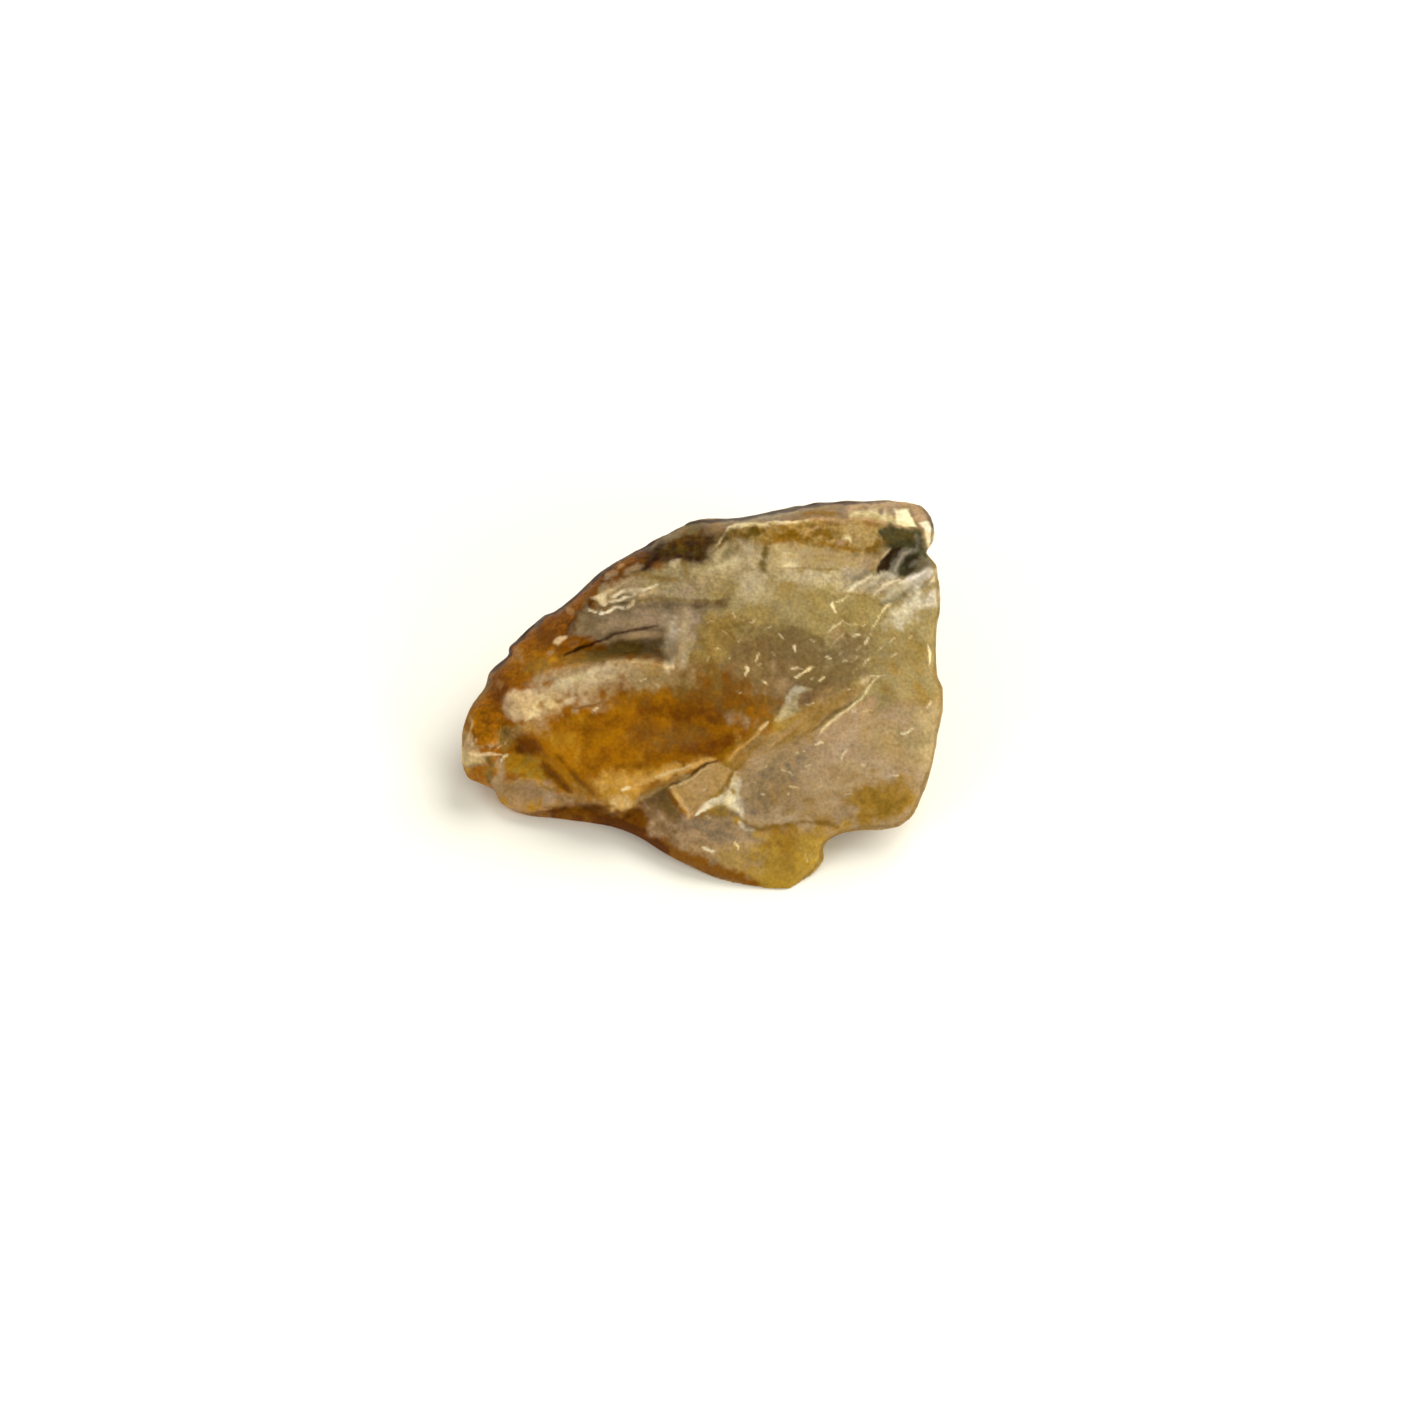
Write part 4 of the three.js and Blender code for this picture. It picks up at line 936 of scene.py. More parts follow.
    line("second streak of the lower face", "mauve_light", 2.4, 2, 0.6, (696, 818), (706, 826), (716, 832)),
    line("third streak of the lower face", "vein", 2.2, 2, 0.7, (702, 848), (708, 851), (716, 852)),
    # A painted soft shadow line along the foot of the lobe.
    line("lobe's shaded foot", "crust_dark", 5, 5, 0.7,
        (756, 830), (778, 826), (800, 822), (820, 822), (838, 826), lift=-0.06),
    line("lobe's pale foot", "lobe_light", 4, 5, 0.6, (736, 800), (742, 812), (752, 822), (768, 822)),
    line("ridge's pink face", "ridge_pink", 11, 5, 0.85,
        (822, 738), (836, 724), (852, 714), (866, 706), (874, 698)),
    area("ridge's pink foot", "ridge_pink/lobe_light", 7, 0.8,
        (822, 728), (850, 708), (868, 712), (862, 728), (845, 742), (824, 742), grain=(40, 10, 4)),
    # A painted highlight along the lobe's ridge.
    line("ridge", "cream", 2.6, 1.6, 0.8,
        (820, 735), (825, 727), (836, 718), (848, 708), (860, 701), (866, 692), (872, 684), (877, 676),
        lift=0.12),
    line("ridge's dark upper side", "centre_dark", 4, 3, 0.7,
        (812, 732), (822, 722), (838, 710), (852, 702), lift=-0.06),
    area("ridge's crumb", "ridge_pink/cream", 3, 0.85,
        (857, 682), (864, 677), (872, 676), (868, 683), (860, 686), lift=0.04),
    line("dark diagonal of the lobe", "lobe_shade", 8, 6, 0.6,
        (858, 740), (870, 728), (890, 722), (904, 728)),
    line("light diagonal of the lobe", "lobe_light", 5, 4, 0.5, (866, 722), (885, 716), (905, 722)),
    line("lobe's boundary", "lobe_light", 5, 4, 0.5, (800, 788), (840, 786), (870, 776), (905, 772)),
    # Dark lines along the outline: painted shade of the stone's edges, partly a thin dark rind.
    line("dark edge of the slope", "black_brown", 5, 2.2, 0.85, *RIM[2:15]),
    line("dark edge of the crest", "black_brown", 3.4, 2.2, 0.85, *RIM[14:20]),
    line("brown edge of the nub", "crust_dark", 5, 3, 0.7, *RIM[:4]),
    line("brown edge of the corner", "dark_brown", 3.6, 2.2, 0.75, *RIM[17:24]),
    line("grey edge of the right side", "olive_brown", 4, 2.4, 0.7, *RIM[24:44]),
    # The pale right edge: partly its own pale tone and partly a painted glow of light through the thin edge.
    area("pale right edge", "edge/olive_pale", 9, 0.6,
        (918, 716), (934, 706), (934, 740), (928, 764), (916, 760), (908, 740), grain=(70, 10, 6)),
    # The comma and the dark arc in the centre.
    area("comma", "green_white/olive_pale", 1.8, 0.9,
        (787, 703), (787, 695), (793, 689), (800, 687), (812, 689), (806, 692), (800, 695), (797, 701),
        (797, 708), (802, 711), (792, 716), (778, 722), (774, 720), (780, 710), grain=(50, 6, 5), lift=0.05),
    line("comma's light", "white_streak", 4, 3, 0.8, (789, 700), (791, 694), (797, 690), (807, 689)),
    area("brown by the comma", "purple_brown/mauve_brown", 2.4, 1,
        (798, 706), (800, 698), (806, 693), (814, 691), (815, 697), (806, 704), grain=(20, 6, 4),
        lift=-0.05),
    area("yellow by the comma", "yellow_olive", 4, 0.6,
        (774, 722), (788, 716), (802, 712), (792, 722), (776, 730)),
    line("dark arc", "centre_dark", 3, 4, 0.65, (780, 626), (792, 628), (806, 632), (820, 639), lift=-0.03),
    area("under the arc", "grey_brown/centre", 8, 0.6,
        (765, 628), (800, 632), (822, 642), (810, 655), (770, 650), grain=(10, 10, 5)),
    area("olive by the arc", "olive/olive_pale", 12, 0.6,
        (778, 588), (812, 592), (832, 612), (828, 632), (812, 633), (792, 622), grain=(5, 12, 6)),
    area("grey right of the centre", "grey_brown/cloud", 8, 0.7,
        (825, 648), (862, 648), (868, 664), (846, 684), (822, 676), grain=(40, 10, 4)),
    area("tan under the arch", "tan/grey_brown", 4, 0.6,
        (828, 632), (836, 627), (845, 630), (842, 638), (831, 645)),
    line("edge of the shallow flake", "olive_brown", 3, 3, 0.55,
        (832, 596), (850, 592), (868, 596), (884, 608)),
]

# Bright flecks: scratches of tiny fractures with painted glints, each a width and the points of a short
# stroke.
FLECK_WIDTH = 0.62  # the share of that width that is drawn
FLECK_SOFT = 1.5
FLECK_STRENGTH = 0.27  # for each pixel of its width
FLECK_MOST = 0.95  # the strength of the widest
GLINT_FLECKS = [
    (2.6, (827, 633), (831, 626), (836, 624), (844, 621)), (1.6, (844, 633), (840, 638), (831, 645)),
    (4, (832, 601), (834, 607), (837, 612)), (2.4, (836, 601), (842, 599), (848, 594)),
    (1.6, (843, 622), (852, 626), (858, 624)), (2, (861, 626), (864, 624), (866, 621)),
    (3, (888, 605), (880, 615), (871, 628)), (1.6, (871, 628), (869, 635)), (3, (868, 637), (864, 645)),
    (3.2, (853, 636), (859, 635)), (3.2, (795, 645), (797, 652)), (2.4, (790, 669), (797, 667), (802, 668)),
    (4.4, (794, 678), (800, 674), (807, 670), (811, 669)), (2.4, (806, 669), (812, 667), (818, 667)),
    (2.8, (819, 682), (825, 677)), (2, (810, 680), (814, 678)), (2.6, (865, 666), (867, 662), (871, 659)),
    (2.2, (890, 642), (896, 637)), (2.4, (889, 657), (896, 653)), (3.4, (745, 676), (748, 671), (746, 666)),
    (3, (762, 681), (767, 683)), (2.4, (755, 661), (757, 655), (760, 653)), (2, (737, 642), (739, 639)),
    (2.2, (778, 634), (783, 640)), (2, (812, 640), (816, 642)), (3, (824, 656), (831, 657)),
    (2, (846, 690), (850, 689)), (1.8, (748, 625), (754, 624), (757, 619)), (2, (767, 628), (771, 625)),
    (1.8, (758, 665), (762, 663)), (1.8, (773, 652), (775, 656)), (2, (722, 630), (725, 634)),
    (2.2, (707, 622), (712, 620)), (2, (716, 648), (722, 650)), (1.8, (728, 660), (731, 657)),
    (1.8, (736, 690), (741, 692)), (2, (705, 660), (709, 656)), (2.2, (731, 612), (733, 618)),
    (1.8, (856, 652), (861, 646)), (1.8, (851, 664), (858, 657)), (2, (838, 655), (842, 652)),
    (2, (842, 662), (848, 660)), (1.8, (853, 672), (858, 668)), (2, (879, 650), (883, 646)),
    (2.6, (815, 745), (822, 742)), (2.8, (840, 760), (844, 755), (847, 751)), (3, (788, 786), (796, 787)),
    (2.2, (787, 796), (789, 792)), (2.4, (889, 777), (898, 776)), (4, (900, 734), (906, 732), (914, 728)),
    (2.2, (889, 743), (897, 743)), (2.4, (794, 755), (798, 753)), (2, (765, 768), (767, 765)),
    (2.2, (780, 769), (788, 771), (795, 775)), (2, (820, 778), (820, 783)), (3, (926, 709), (929, 702)),
    (3.4, (929, 646), (930, 655), (930, 665)), (2.8, (734, 841), (738, 849)), (2, (805, 855), (808, 862)),
    (2.6, (593, 709), (598, 707)), (2.2, (870, 676), (884, 674)), (2.4, (850, 710), (855, 712)),
    (2, (804, 704), (813, 703)), (2, (862, 712), (872, 710)), (1.8, (702, 790), (706, 788)),
    (2, (803, 752), (806, 751)), (1.8, (843, 795), (850, 793)), (2, (503, 745), (506, 741)),
    (2, (497, 748), (500, 745)), (2.2, (511, 731), (514, 728)), (2, (476, 738), (478, 743)),
    (2.2, (640, 680), (646, 678)), (2, (655, 683), (658, 686)), (2, (908, 640), (912, 637)),
    (1.8, (760, 795), (765, 794)), (2, (708, 815), (711, 819)), (1.8, (770, 745), (775, 742)),
    (1.8, (752, 780), (757, 783)), (1.8, (860, 765), (866, 764)), (1.8, (806, 766), (811, 764)),
]

# ---------------------------------------------------------------- the mesh

LAST_CELL = 1.001  # places on a table stop this many cells before its length
JUST_INSIDE = 0.01  # the depth given to a grid point that is filled in
FILLING_ROUNDS = 6  # at most
THINNING_ROUNDS = 8  # at most
KEY_STRIDE = 4096  # more cells than the grid has along any axis
TINY = 1e-12


def grid_axes():
    """Grid lines across, up and out that take in the whole CAD solid with a margin."""
    low, high = (np.array(corner) / MM for corner in cad_box)
    corners = np.array(list(itertools.product(*zip(low, high)))) @ TURN.T
    spans = [
        (low[0] - MARGIN, high[0] + MARGIN, CELL),
        (min(y for _, y in OUTLINE) - MARGIN, max(y for _, y in OUTLINE) + MARGIN, CELL),
        (corners[:, 2].min() - MARGIN, corners[:, 2].max() + MARGIN, CELL_OUT),
    ]
    return [np.arange(start, stop, step) for start, stop, step in spans]


def looked_up(table, axes, x, y):
    """Values between the points of a table on the grid's across and up lines."""
    i = np.clip((x - axes[0][0]) / CELL, 0, len(axes[0]) - LAST_CELL)
    j = np.clip((y - axes[1][0]) / CELL, 0, len(axes[1]) - LAST_CELL)
    i0, j0 = i.astype(int), j.astype(int)
    p, q = i - i0, j - j0
    low = mix(table[i0, j0], table[i0 + 1, j0], p)
    high = mix(table[i0, j0 + 1], table[i0 + 1, j0 + 1], p)
    return mix(low, high, q)


def break_depths(points):
    """How deep points, in the broad side's axes, lie behind each break."""
    depths = []
    for face in BREAKS:
        facing = np.array(face["facing"], float)
        facing = TURN @ (facing / np.linalg.norm(facing))
        offset = points - TURN @ np.array(face["at"], float)
        out = offset @ facing
        beside = np.sum(offset * offset, axis=-1) - out * out
        depths.append(-out - face["bow"] * beside / SPAN**2)
    return np.array(depths)


def stone_field(axes, top, from_outline):
    """How deep each grid point lies inside the stone, negative outside it."""
    x, y = np.meshgrid(axes[0], axes[1], indexing="ij")
    shape = tuple(len(axis) for axis in axes)
    field = np.empty(shape, np.float32)
    for k, out in enumerate(axes[2]):
        size = 1 - (1 - TAPER) * max(0, GIRDLE - out) / BLOCK_DEPTH
        wall = size * looked_up(from_outline, axes, x / size, y / size)
        height = y * TURN[1, 2] + out * TURN[2, 2]
        points = np.stack([x, y, np.full(x.shape, out)], axis=-1)
        walls = np.minimum(wall, break_depths(points).min(axis=0)) + GROWTH
        field[:, :, k] = np.minimum(np.minimum(top - out, walls), height)
    return field


def unpinched(field):
    """The field with its edges filled in where two inside corners of a grid face only face each other across
    it, since two walls would meet in a line there."""
    for _ in range(FILLING_ROUNDS):
        found = False
        for first, second in ((0, 1), (0, 2), (1, 2)):
            view = np.moveaxis(field, (first, second), (0, 1))
            corners = [view[:-1, :-1], view[1:, :-1], view[1:, 1:], view[:-1, 1:]]
            inside = [corner > 0 for corner in corners]
            one_way = inside[0] & inside[2] & ~inside[1] & ~inside[3]
            other_way = inside[1] & inside[3] & ~inside[0] & ~inside[2]
            corners[1][one_way] = JUST_INSIDE
            corners[0][other_way] = JUST_INSIDE
            found = found or one_way.any() or other_way.any()
        if not found:
            break
    return field


def surface_net(field, axes):
    """The closed mesh round where a field is positive: a point in each cell that the surface crosses, and
    two triangles across each grid edge that it crosses."""
    inside = field > 0
    shape = tuple(n - 1 for n in field.shape)
    corners = np.array(list(itertools.product((0, 1), repeat=3)))
    count = np.zeros(shape, np.uint8)
    for i, j, k in corners:
        count += inside[i:i + shape[0], j:j + shape[1], k:k + shape[2]]
    cells = np.argwhere((count > 0) & (count < 8))
    index = np.full(shape, -1, np.int64)
    index[tuple(cells.T)] = np.arange(len(cells))
    values = [field[tuple((cells + corner).T)] for corner in corners]
    total = np.zeros((len(cells), 3))
    hits = np.zeros(len(cells))
    for a, b in itertools.combinations(range(8), 2):
        if np.abs(corners[a] - corners[b]).sum() != 1:
            continue
        crossed = (values[a] > 0) != (values[b] > 0)
        t = values[a][crossed] / (values[a][crossed] - values[b][crossed])
        total[crossed] += corners[a] + t[:, None] * (corners[b] - corners[a])
        hits += crossed
    local = cells + total / hits[:, None]
    points = np.stack([axis[0] + local[:, i] * (axis[1] - axis[0]) for i, axis in enumerate(axes)], axis=1)
    triangles = []
    for axis in range(3):
        low = np.take(inside, range(shape[axis]), axis)
        high = np.take(inside, range(1, shape[axis] + 1), axis)
        edges = np.argwhere(low != high)
        outward = low[tuple(edges.T)]
        steps = np.zeros((4, 3), int)
        steps[[1, 2], (axis + 1) % 3] = 1
        steps[[2, 3], (axis + 2) % 3] = 1
        quads = np.stack([index[tuple((edges - step).T)] for step in steps], axis=1)
        quads[~outward] = quads[~outward][:, ::-1]
        triangles.append(split_quads(points, quads))
    return points, np.concatenate(triangles), cells


def split_quads(points, quads):
    """Two triangles from each quad, split along its shorter diagonal."""
    a, b, c, d = quads.T
    first = np.linalg.norm(points[a] - points[c], axis=1) < np.linalg.norm(points[b] - points[d], axis=1)
    one = np.where(first[:, None], np.stack([a, b, c], 1), np.stack([a, b, d], 1))
    two = np.where(first[:, None], np.stack([a, c, d], 1), np.stack([b, c, d], 1))
    return np.concatenate([one, two])


def merged_mesh(points, triangles, group):
    """The mesh with the points of each group merged into one, and the triangles that close up left out."""
    members = np.bincount(group)
    points = np.stack([np.bincount(group, points[:, i]) / members for i in range(3)], axis=1)
    triangles = group[triangles]
    a, b, c = triangles.T
    triangles = triangles[(a != b) & (b != c) & (c != a)]
    # Two triangles back to back enclose nothing, and both go.
    corners = np.sort(triangles, axis=1)
    _, where, repeats = np.unique(corners, axis=0, return_inverse=True, return_counts=True)
    return points, triangles[repeats[where.ravel()] == 1]


def open_points(triangles):
    """The points of edges that don't have exactly two triangles."""
    edges = np.concatenate([triangles[:, [0, 1]], triangles[:, [1, 2]], triangles[:, [2, 0]]])
    edges, repeats = np.unique(np.sort(edges, axis=1), axis=0, return_counts=True)
    return np.unique(edges[repeats != 2])


def thinned(points, triangles, cells, coarse):
    """Merges the points of each block of 2 x 2 x 2 cells where `coarse` is true, unless that opens the
    mesh."""
    for _ in range(THINNING_ROUNDS):
        key = np.where(coarse[:, None], cells // 2, cells)
        key = ((key[:, 0] * KEY_STRIDE + key[:, 1]) * KEY_STRIDE + key[:, 2]) * 2 + coarse
        _, group = np.unique(key, return_inverse=True)
        thin_points, thin_triangles = merged_mesh(points, triangles, group)
        faulty = np.isin(group, open_points(thin_triangles)) & coarse
        if not faulty.any():
            break
        coarse = coarse & ~faulty
    used, thin_triangles = np.unique(thin_triangles, return_inverse=True)
    return thin_points[used], thin_triangles.reshape(-1, 3)


def point_normals(points, triangles):
    a, b, c = (points[triangles[:, i]] for i in range(3))
    faces = np.cross(b - a, c - a)
    normals = np.stack([
        sum(np.bincount(triangles[:, corner], faces[:, i], len(points)) for corner in range(3))
        for i in range(3)
    ], axis=1)
    return normals / np.maximum(np.linalg.norm(normals, axis=1), TINY)[:, None]


# ---------------------------------------------------------------- the colours

SHEEN = 0.006  # the white that the gloss adds to every colour
LIGHT_SHARE = 0.78  # the palette is seen in strong light, which makes colours this much lighter
DARKEST = 0.0015  # the least that a colour keeps of each channel

# Zones of colour all through the stone, on its floor axes, which show round the back and underneath.
ZONES = [
    ("left rust", (-14.0, -3.0, 4.0), 5.0, "rust"),
    ("left foot amber", (-12.0, -8.0, 1.0), 4.5, "amber_light"),
    ("left back amber", (-8.0, 4.0, 5.0), 4.5, "amber"),
    ("dark crest", (-2.0, 8.0, 9.0), 3.5, "dark_brown"),
    ("back milk", (3.0, 9.0, 6.0), 4.0, "cloud"),
    ("back olive", (8.0, 9.5, 7.0), 4.5, "olive"),
    ("crest gold", (8.0, 9.5, 11.5), 3.0, "crust"),
    ("corner grey", (15.0, 8.0, 9.0), 3.5, "edge_grey"),
    ("right olive", (16.0, 2.0, 6.0), 4.5, "olive_pale"),
    ("right honey", (16.0, -5.0, 4.0), 4.5, "right_honey"),
    ("lobe's underside", (10.0, -9.0, 2.0), 4.5, "lobe_gold"),
    ("tip gold", (5.0, -14.0, 2.0), 4.0, "golden"),
    ("front underside", (-4.0, -11.0, 1.0), 4.0, "orange_brown"),
    ("foot brown", (1.0, 3.0, 0.0), 5.0, "golden_brown"),
    ("foot mauve", (8.0, -2.0, 0.0), 5.0, "purple_grey"),
    ("back foot honey", (9.0, 6.0, 2.0), 4.0, "honey"),
]
BAND_SPACING = 2.6  # of the agate's bands
BAND_TILT = (0.35, 0.75, 0.56)  # the direction that the bands follow one another in
FINE_BANDS = 7  # in each band
FINE_CONTRAST = 0.10  # how far they lighten and darken the colour
DARK_PHASE = 2.4  # how far the dark bands are turned from the milky ones
BAND_SHARE = 0.6  # how much the bands take part in the wander of the zones
FAINT = 1e-6  # what every zone adds everywhere
FULL_TURN = 2 * math.pi

# Away from the broad side, in mm of depth below it, the markings fade into the body. They also fade low
# down on its axes, between two values of `out`.
MARKED_DEPTH = 0.3  # down to which they are at their full strength
MARKING_FADE = 1.6  # over which they fade to about a third
MARKINGS_LOW, MARKINGS_HIGH = -2.0, 3.0
UNSEEN = 0.01  # markings fainter than this aren't painted
BODY_CRUST = 0.6  # how crusty the rusty places of the body are
YELLOWNESS = (0.03, 0.0, -0.22)  # what the yellow clouds make of red, green and blue

# The arcs of a shell-like fracture, in mm.
ARC_ORIGIN = (3.0, -2.0, 6.0)  # from a break's place to the middle of its arcs
ARC_HEIGHT = 0.045
ARC_SPACING = 1.3
ARC_WIDENING = 0.25  # from one break to the next, for four breaks in turn
ARC_SHARPNESS = 0.3  # 0 makes plain waves, and more makes their crests narrower
ARC_RIM = 0.8  # how far from the next break the arcs are at their full height
ARC_DEPTHS = (0.25, 0.05)  # behind the break, from where there are none to where they are full

RELIEF_EDGE = (-0.2, 0.4)  # how far inside the outline the markings' relief sets in
HIDDEN_DEPTHS = (1.0, 3.0)  # below the broad side, where the swells of the hidden faces set in
FLAT_HEIGHTS = (0.05, 0.6)  # over the floor, where the fine relief sets in


def own_colour(name):
    """A palette colour as the surface's own: without the sheen's white, and less the light's strength."""
    seen = np.array(PALETTE[name]) / 255
    light = np.where(seen <= 0.04045, seen / 12.92, ((seen + 0.055) / 1.055) ** 2.4)  # from sRGB
    return np.maximum(light - SHEEN, DARKEST) * LIGHT_SHARE


def patches(name, place, low, high):
    """Where a noise is strong, from 0 to 1."""
    return smoothstep(layered_noise(name, place), low, high)


def rusty_patches(place):
    return patches("rust", place, 0.1, 0.5)


def body_colour(place):
    """The stone's own colour at places on the floor axes."""
    wander = np.stack([layered_noise("body_wander", place, i) for i in range(3)], axis=1)
    moved = place + wander
    total = np.zeros((len(place), 3))
    weight = np.zeros(len(place))
    for _, centre, radius, colour in ZONES:
        near = np.exp(-np.sum(((moved - centre) / radius) ** 2, axis=1)) + FAINT
        total += near[:, None] * own_colour(colour)
        weight += near
    colour = total / weight[:, None]
    bands = (place + BAND_SHARE * wander) @ np.array(BAND_TILT) / BAND_SPACING
    bands = bands + layered_noise("band_wander", place)
    milk = smoothstep(np.sin(bands * FULL_TURN), 0.2, 1.0) * patches("milk", place, -0.1, 0.6)
    dark = smoothstep(np.sin(bands * FULL_TURN + DARK_PHASE), 0.55, 1.0)
    dark = dark * patches("dark_bands", place, -0.4, 0.6)
    fine = np.sin(bands * FINE_BANDS * FULL_TURN) * patches("fine_bands", place, -0.2, 0.6)
    veils = [("mauve_light", 0.4, milk), ("rust_dark", 0.55, dark), ("rust", 0.5, rusty_patches(place))]
    for name, strength, share in veils:
        colour = mix(colour, own_colour(name), strength * share[:, None])
    return colour * (1 + FINE_CONTRAST * fine[:, None])


def wandered(x, y):
    """Picture places, moved a little so that the markings' edges aren't drawn straight, and the noise that
    frays the edges."""
    flat = np.stack([x.ravel(), y.ravel(), np.zeros(x.size)], axis=1)
    across, up, fray = (layered_noise(name, flat).reshape(x.shape) for name in ("across", "up", "fray"))
    return x + across, y + up, fray


def coverage(marking, x, y, fray):
    """How far a marking covers picture places, from 0 to 1."""
    points = np.array(marking["points"], float)
    reach = marking["soft"] * SOFTNESS + (marking["width"] or 0)
    low, high = points.min(axis=0) - reach, points.max(axis=0) + reach
    near = (x > low[0]) & (x < high[0]) & (y > low[1]) & (y < high[1])
    cover = np.zeros(x.shape)
    if not near.any():
        return cover
    if marking["width"] is None:
        depth = inside_by(points, x[near], y[near]) + fray[near] * FRAY * marking["soft"] * SOFTNESS
        half = marking["soft"] * SOFTNESS / 2
    else:
        gap, place = along_line(points, x[near], y[near])
        taper = np.clip(np.minimum(place, 1 - place) * STROKE_ENDS, 0, 1) ** 0.5
        full = marking["width"] / 2 * (STROKE_TIP + (1 - STROKE_TIP) * taper)
        depth = full * (1 + STROKE_FRAY * fray[near]) - gap
        half = marking["soft"] / 2
    cover[near] = smoothstep(depth, -half, half)
    return cover


def grain_share(marking, x, y, number):
    """The share of a marking's second colour, drawn out along its grain."""
    angle, length, width = marking["grain"]
    turn = math.radians(angle)
    along = (x * math.cos(turn) - y * math.sin(turn)) / (GRAIN_LENGTH * length)
    beside = (x * math.sin(turn) + y * math.cos(turn)) / (GRAIN_WIDTH * width)
    places = np.stack([along, beside, np.zeros(len(x))], axis=1)
    return smoothstep(layered_noise("grain", places, number), -GRAIN_CONTRAST, GRAIN_CONTRAST)


# A bright scratch drawn with its painted glint.
def fleck(width, *points):
    strength = min(FLECK_MOST, FLECK_STRENGTH * width)
    return line("fleck", "bright", FLECK_WIDTH * width, FLECK_SOFT, strength, *points)


def all_markings():
    return MARKINGS + [fleck(*row) for row in GLINT_FLECKS]


def relief(x, y):
    """How much the markings raise the broad side."""
    picture = wandered(*on_picture(x, y))
    lift = np.zeros(x.shape)
    for marking in all_markings():
        if marking["lift"]:
            lift += RELIEF * marking["lift"] * coverage(marking, *picture)
    return lift


def paint(points, place, depth):
    """The stone's colour, and how crusty it is, at points on the broad side's axes."""
    x, y, fray = wandered(*on_picture(points[:, 0], points[:, 1]))
    shown = np.exp(-np.maximum(0, depth - MARKED_DEPTH) / MARKING_FADE)
    shown = shown * smoothstep(points[:, 2], MARKINGS_LOW, MARKINGS_HIGH)
    seen = shown > UNSEEN
    colour = body_colour(place)
    crust = BODY_CRUST * rusty_patches(place)
    front, front_crust = colour[seen], np.zeros(seen.sum())
    x, y, fray = x[seen], y[seen], fray[seen]
    for number, marking in enumerate(all_markings()):
        cover = coverage(marking, x, y, fray) * marking["strength"]
        hit = cover > 0
        if not hit.any():
            continue
        share = grain_share(marking, x[hit], y[hit], number)
        tint = mix(own_colour(marking["colour"]), own_colour(marking["other"]), share[:, None])
        front[hit] = mix(front[hit], tint, cover[hit, None])
        front_crust[hit] = mix(front_crust[hit], marking["crust"], cover[hit])
    colour[seen] = mix(colour[seen], front, shown[seen, None])
    crust[seen] = mix(crust[seen], front_crust, shown[seen])
    return np.clip(colour * mottled(place), 0, 1), crust


def mottled(place):
    """What the fine cloudiness of the stone makes of each channel of its colour."""
    clouds = layered_noise("clouds", place) + layered_noise("mottle", place)
    yellow = layered_noise("yellow", place)
    return 1 + clouds[:, None] + yellow[:, None] * np.array(YELLOWNESS)


def ripples(points):
    """The arcs of a shell-like fracture on each break, and none near its edges."""
    depths = break_depths(points)
    order = np.argsort(depths, axis=0)
    nearest, next_nearest = (np.take_along_axis(depths, order[i:i + 1], 0)[0] for i in range(2))
    inner = smoothstep(next_nearest - nearest, 0.0, ARC_RIM) * smoothstep(nearest, *ARC_DEPTHS)
    lift = np.zeros(len(points))
    for i, face in enumerate(BREAKS):
        on = order[0] == i
        if not on.any():
            continue
        origin = TURN @ (np.array(face["at"]) + ARC_ORIGIN)
        away = np.linalg.norm(points[on] - origin, axis=1) + layered_noise("arc_bend", points[on], i)
        wave = np.sin(away * FULL_TURN / (ARC_SPACING + ARC_WIDENING * (i % 4)))
        lift[on] = ARC_HEIGHT * wave * np.abs(wave) ** ARC_SHARPNESS
    return lift * inner


def fine_relief(points, place, depth, crust):
    """How much arcs, crust and swells raise the points of the finished shape. The flat underside stays."""
    lift = ripples(points)
    lift += crust * (layered_noise("crust", place) + layered_noise("grit", place))
    lift += layered_noise("swell", place)
    lift += layered_noise("hidden_swell", place) * smoothstep(depth, *HIDDEN_DEPTHS)
    return lift * smoothstep(place[:, 2], *FLAT_HEIGHTS)


def new_mesh(place, triangles, colour, crust):
    """A smooth mesh from places in mm, with its colour and crust as attributes of its points."""
    mesh = bpy.data.meshes.new("agate_stone")
    mesh.from_pydata((place * MM).tolist(), [], triangles.tolist())
    mesh.polygons.foreach_set("use_smooth", np.ones(len(mesh.polygons), bool))
    layer = mesh.color_attributes.new("tint", "FLOAT_COLOR", "POINT")
    opaque = np.column_stack([colour, np.ones(len(colour))])
    layer.data.foreach_set("color", opaque.ravel().astype(np.float32))
    layer = mesh.attributes.new("crust", "FLOAT", "POINT")
    layer.data.foreach_set("value", crust.astype(np.float32))
    mesh.update()
    return mesh


def stone_mesh():
    axes = grid_axes()
    x, y = np.meshgrid(axes[0], axes[1], indexing="ij")
    from_outline = inside_by(rounded_outline(OUTLINE), x, y)
    top = faded(broad_side(x, y, from_outline), x, y)
    top = top + relief(x, y) * smoothstep(from_outline, *RELIEF_EDGE)
    points, triangles, cells = surface_net(unpinched(stone_field(axes, top, from_outline)), axes)

    def depths():
        """How deep the points lie below the broad side."""
        return looked_up(top, axes, points[:, 0], points[:, 1]) - points[:, 2]

    points, triangles = thinned(points, triangles, cells, depths() > FINE_DEPTH)
    depth = depths()
    place = points @ TURN
    colour, crust = paint(points, place, depth)
    lift = fine_relief(points, place, depth, crust)
    place = (points + point_normals(points, triangles) * lift[:, None]) @ TURN
    low, high = (np.array(corner) / MM for corner in cad_box)
    print("stone:", len(place), "points,", len(triangles), "triangles")
    return new_mesh(np.clip(place, low, high), triangles, colour, crust)


# ---------------------------------------------------------------- material, light and camera


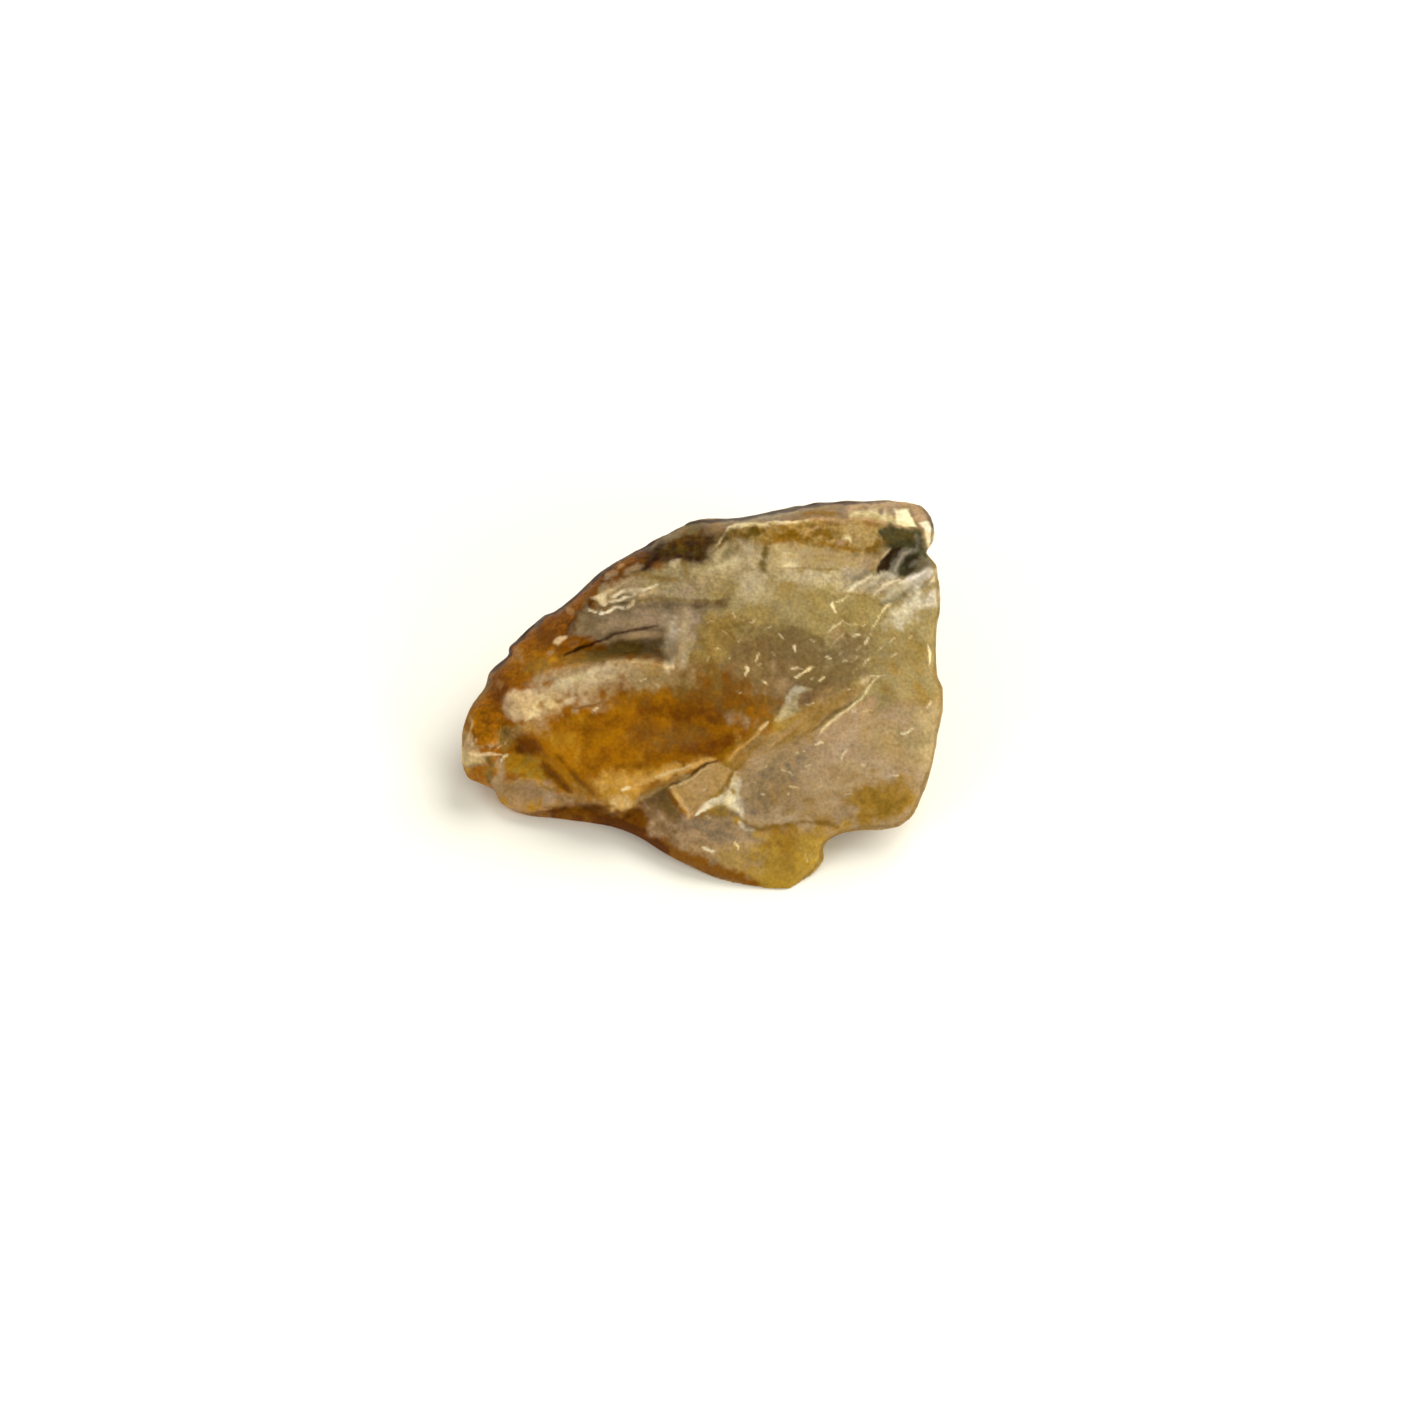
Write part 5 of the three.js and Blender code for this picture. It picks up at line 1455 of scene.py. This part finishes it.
class Nodes:
    """Makes a material's nodes and joins them."""

    def __init__(self, name):
        self.material = bpy.data.materials.new(name)
        self.material.use_nodes = True
        self.tree = self.material.node_tree
        self.tree.nodes.clear()

    def add(self, kind, inputs=None, **settings):
        node = self.tree.nodes.new(kind)
        for key, value in settings.items():
            setattr(node, key, value)
        for key, value in (inputs or {}).items():
            if isinstance(value, bpy.types.NodeSocket):
                self.tree.links.new(value, node.inputs[key])
            else:
                node.inputs[key].default_value = value
        return node

    def math(self, operation, a, b=0.0):
        return self.add("ShaderNodeMath", {0: a, 1: b}, operation=operation).outputs[0]


# Scales of the material's fine noises, in features per metre, and their detail.
SPECKLE = (4200, 4)
BUMPS = (5200, 4)
DIMPLES = (1500, 3)
GLOSS_PATCHES = (900, 4)
FIBRES = (900, 3)
SPECKLE_CONTRAST = 0.95
CRUST_CONTRAST = 0.9  # what crust adds to it
CRUST_ROUGHNESS = 0.22  # what crust adds to the roughness
BUMP_SHARE = 0.35  # the height of the fine bumps beside that of the dimples


def noise_node(nodes, scale, detail):
    place = nodes.add("ShaderNodeTexCoord").outputs["Object"]
    inputs = {"Vector": place, "Scale": scale, "Detail": detail}
    return nodes.add("ShaderNodeTexNoise", inputs).outputs["Fac"]


def stone_material():
    nodes = Nodes("agate stone")
    tint = nodes.add("ShaderNodeAttribute", attribute_name="tint").outputs["Color"]
    crust = nodes.add("ShaderNodeAttribute", attribute_name="crust").outputs["Fac"]
    speckle = nodes.math("SUBTRACT", noise_node(nodes, *SPECKLE), 0.5)
    contrast = nodes.math("ADD", nodes.math("MULTIPLY", crust, CRUST_CONTRAST), SPECKLE_CONTRAST)
    mottle = nodes.math("ADD", nodes.math("MULTIPLY", speckle, contrast), 1.0)
    colour = nodes.add("ShaderNodeVectorMath", {0: tint, 1: mottle}, operation="MULTIPLY").outputs[0]
    bumps = nodes.math("MULTIPLY", noise_node(nodes, *BUMPS), BUMP_SHARE)
    roughness = nodes.add("ShaderNodeMapRange", {
        "Value": noise_node(nodes, *GLOSS_PATCHES), "From Min": 0.3, "From Max": 0.7,
        "To Min": 0.24, "To Max": 0.42,
    }).outputs[0]
    roughness = nodes.math("ADD", roughness, nodes.math("MULTIPLY", crust, CRUST_ROUGHNESS))
    height = nodes.math("ADD", bumps, noise_node(nodes, *DIMPLES))
    bump = nodes.add("ShaderNodeBump", {"Height": height, "Strength": 0.35, "Distance": 0.00009}).outputs[0]
    shader = nodes.add("ShaderNodeBsdfPrincipled", {
        "Base Color": colour, "Roughness": roughness, "Normal": bump, "IOR": 1.54,
        "Subsurface Weight": 0.5, "Subsurface Radius": (1.0, 0.7, 0.4), "Subsurface Scale": 0.001,
        "Specular IOR Level": 0.055, "Specular Tint": (1.0, 0.86, 0.55, 1),
    })
    nodes.add("ShaderNodeOutputMaterial", {"Surface": shader.outputs[0]})
    return nodes.material


def floor_material():
    nodes = Nodes("pale floor")
    fibres = noise_node(nodes, *FIBRES)
    bump = nodes.add("ShaderNodeBump", {"Height": fibres, "Strength": 0.08, "Distance": 0.00005}).outputs[0]
    shader = nodes.add("ShaderNodeBsdfPrincipled", {
        "Base Color": (0.91, 0.905, 0.84, 1), "Roughness": 0.9, "Normal": bump, "Specular IOR Level": 0.15,
    })
    nodes.add("ShaderNodeOutputMaterial", {"Surface": shader.outputs[0]})
    return nodes.material


def build_stone():
    mesh = stone_mesh()
    mesh.materials.append(stone_material())
    stone = bpy.data.objects.new("agate_stone", mesh)
    bpy.context.scene.collection.objects.link(stone)
    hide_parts("agate")
    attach(stone, "root")


FLOOR_SIZE = 4.0  # metres
FLOOR_GAP = 0.00002  # metres between the stone's flat and the floor


def build_floor():
    half = FLOOR_SIZE / 2
    mesh = bpy.data.meshes.new("floor")
    corners = [(-half, -half), (half, -half), (half, half), (-half, half)]
    mesh.from_pydata([(x, y, -FLOOR_GAP) for x, y in corners], [], [(0, 1, 2, 3)])
    mesh.materials.append(floor_material())
    floor = bpy.data.objects.new("floor", mesh)
    bpy.context.scene.collection.objects.link(floor)


CAMERA_DISTANCE = 0.6  # metres
AIM = Vector((0.735, -0.735, 8.0))  # on the broad side's axes, in mm
PICTURE_WIDTH = 1421  # pixels
VIEW_WIDTH = PICTURE_WIDTH * PIXEL * MM  # of what the camera sees at the stone
SENSOR = 36.0  # mm
CLIP_START = 0.01  # metres


def aimed(thing, spot, target):
    thing.location = spot
    thing.rotation_euler = (Vector(target) - Vector(spot)).to_track_quat("-Z", "Y").to_euler()
    bpy.context.scene.collection.objects.link(thing)


def build_camera():
    camera = bpy.data.cameras.new("camera")
    camera.sensor_fit = "HORIZONTAL"
    camera.sensor_width = SENSOR
    camera.lens = SENSOR * CAMERA_DISTANCE / VIEW_WIDTH
    camera.clip_start = CLIP_START
    target = Vector(np.array(AIM) @ TURN) * MM
    towards_viewer = Vector(TURN[2])
    thing = bpy.data.objects.new("camera", camera)
    aimed(thing, target + towards_viewer * CAMERA_DISTANCE, target)
    bpy.context.scene.camera = thing


# Each light: where it is and its size, in metres, and its power in watts.
LIGHTS = [
    ("window light", (0.50, 0.42, 0.62), 1.0, 10.5),
    ("left light", (-0.80, -0.50, 0.42), 0.7, 3.8),
    ("right light", (0.75, -0.60, 0.42), 0.6, 4.8),
]
LIT_SPOT = (0, 0, 0.004)  # metres, what the lights point at
LIGHT_COLOUR = (1.0, 0.97, 0.89)
WORLD_STRENGTH = 0.48


def build_lights():
    for name, spot, size, power in LIGHTS:
        light = bpy.data.lights.new(name, "AREA")
        light.shape = "DISK"
        light.size = size
        light.energy = power
        light.color = LIGHT_COLOUR
        aimed(bpy.data.objects.new(name, light), spot, LIT_SPOT)
    world = bpy.data.worlds.new("world")
    world.use_nodes = True
    background = world.node_tree.nodes["Background"]
    background.inputs["Color"].default_value = (*LIGHT_COLOUR, 1)
    background.inputs["Strength"].default_value = WORLD_STRENGTH
    bpy.context.scene.world = world
    bpy.context.scene.view_settings.view_transform = "Standard"


build_stone()
build_floor()
build_camera()
build_lights()
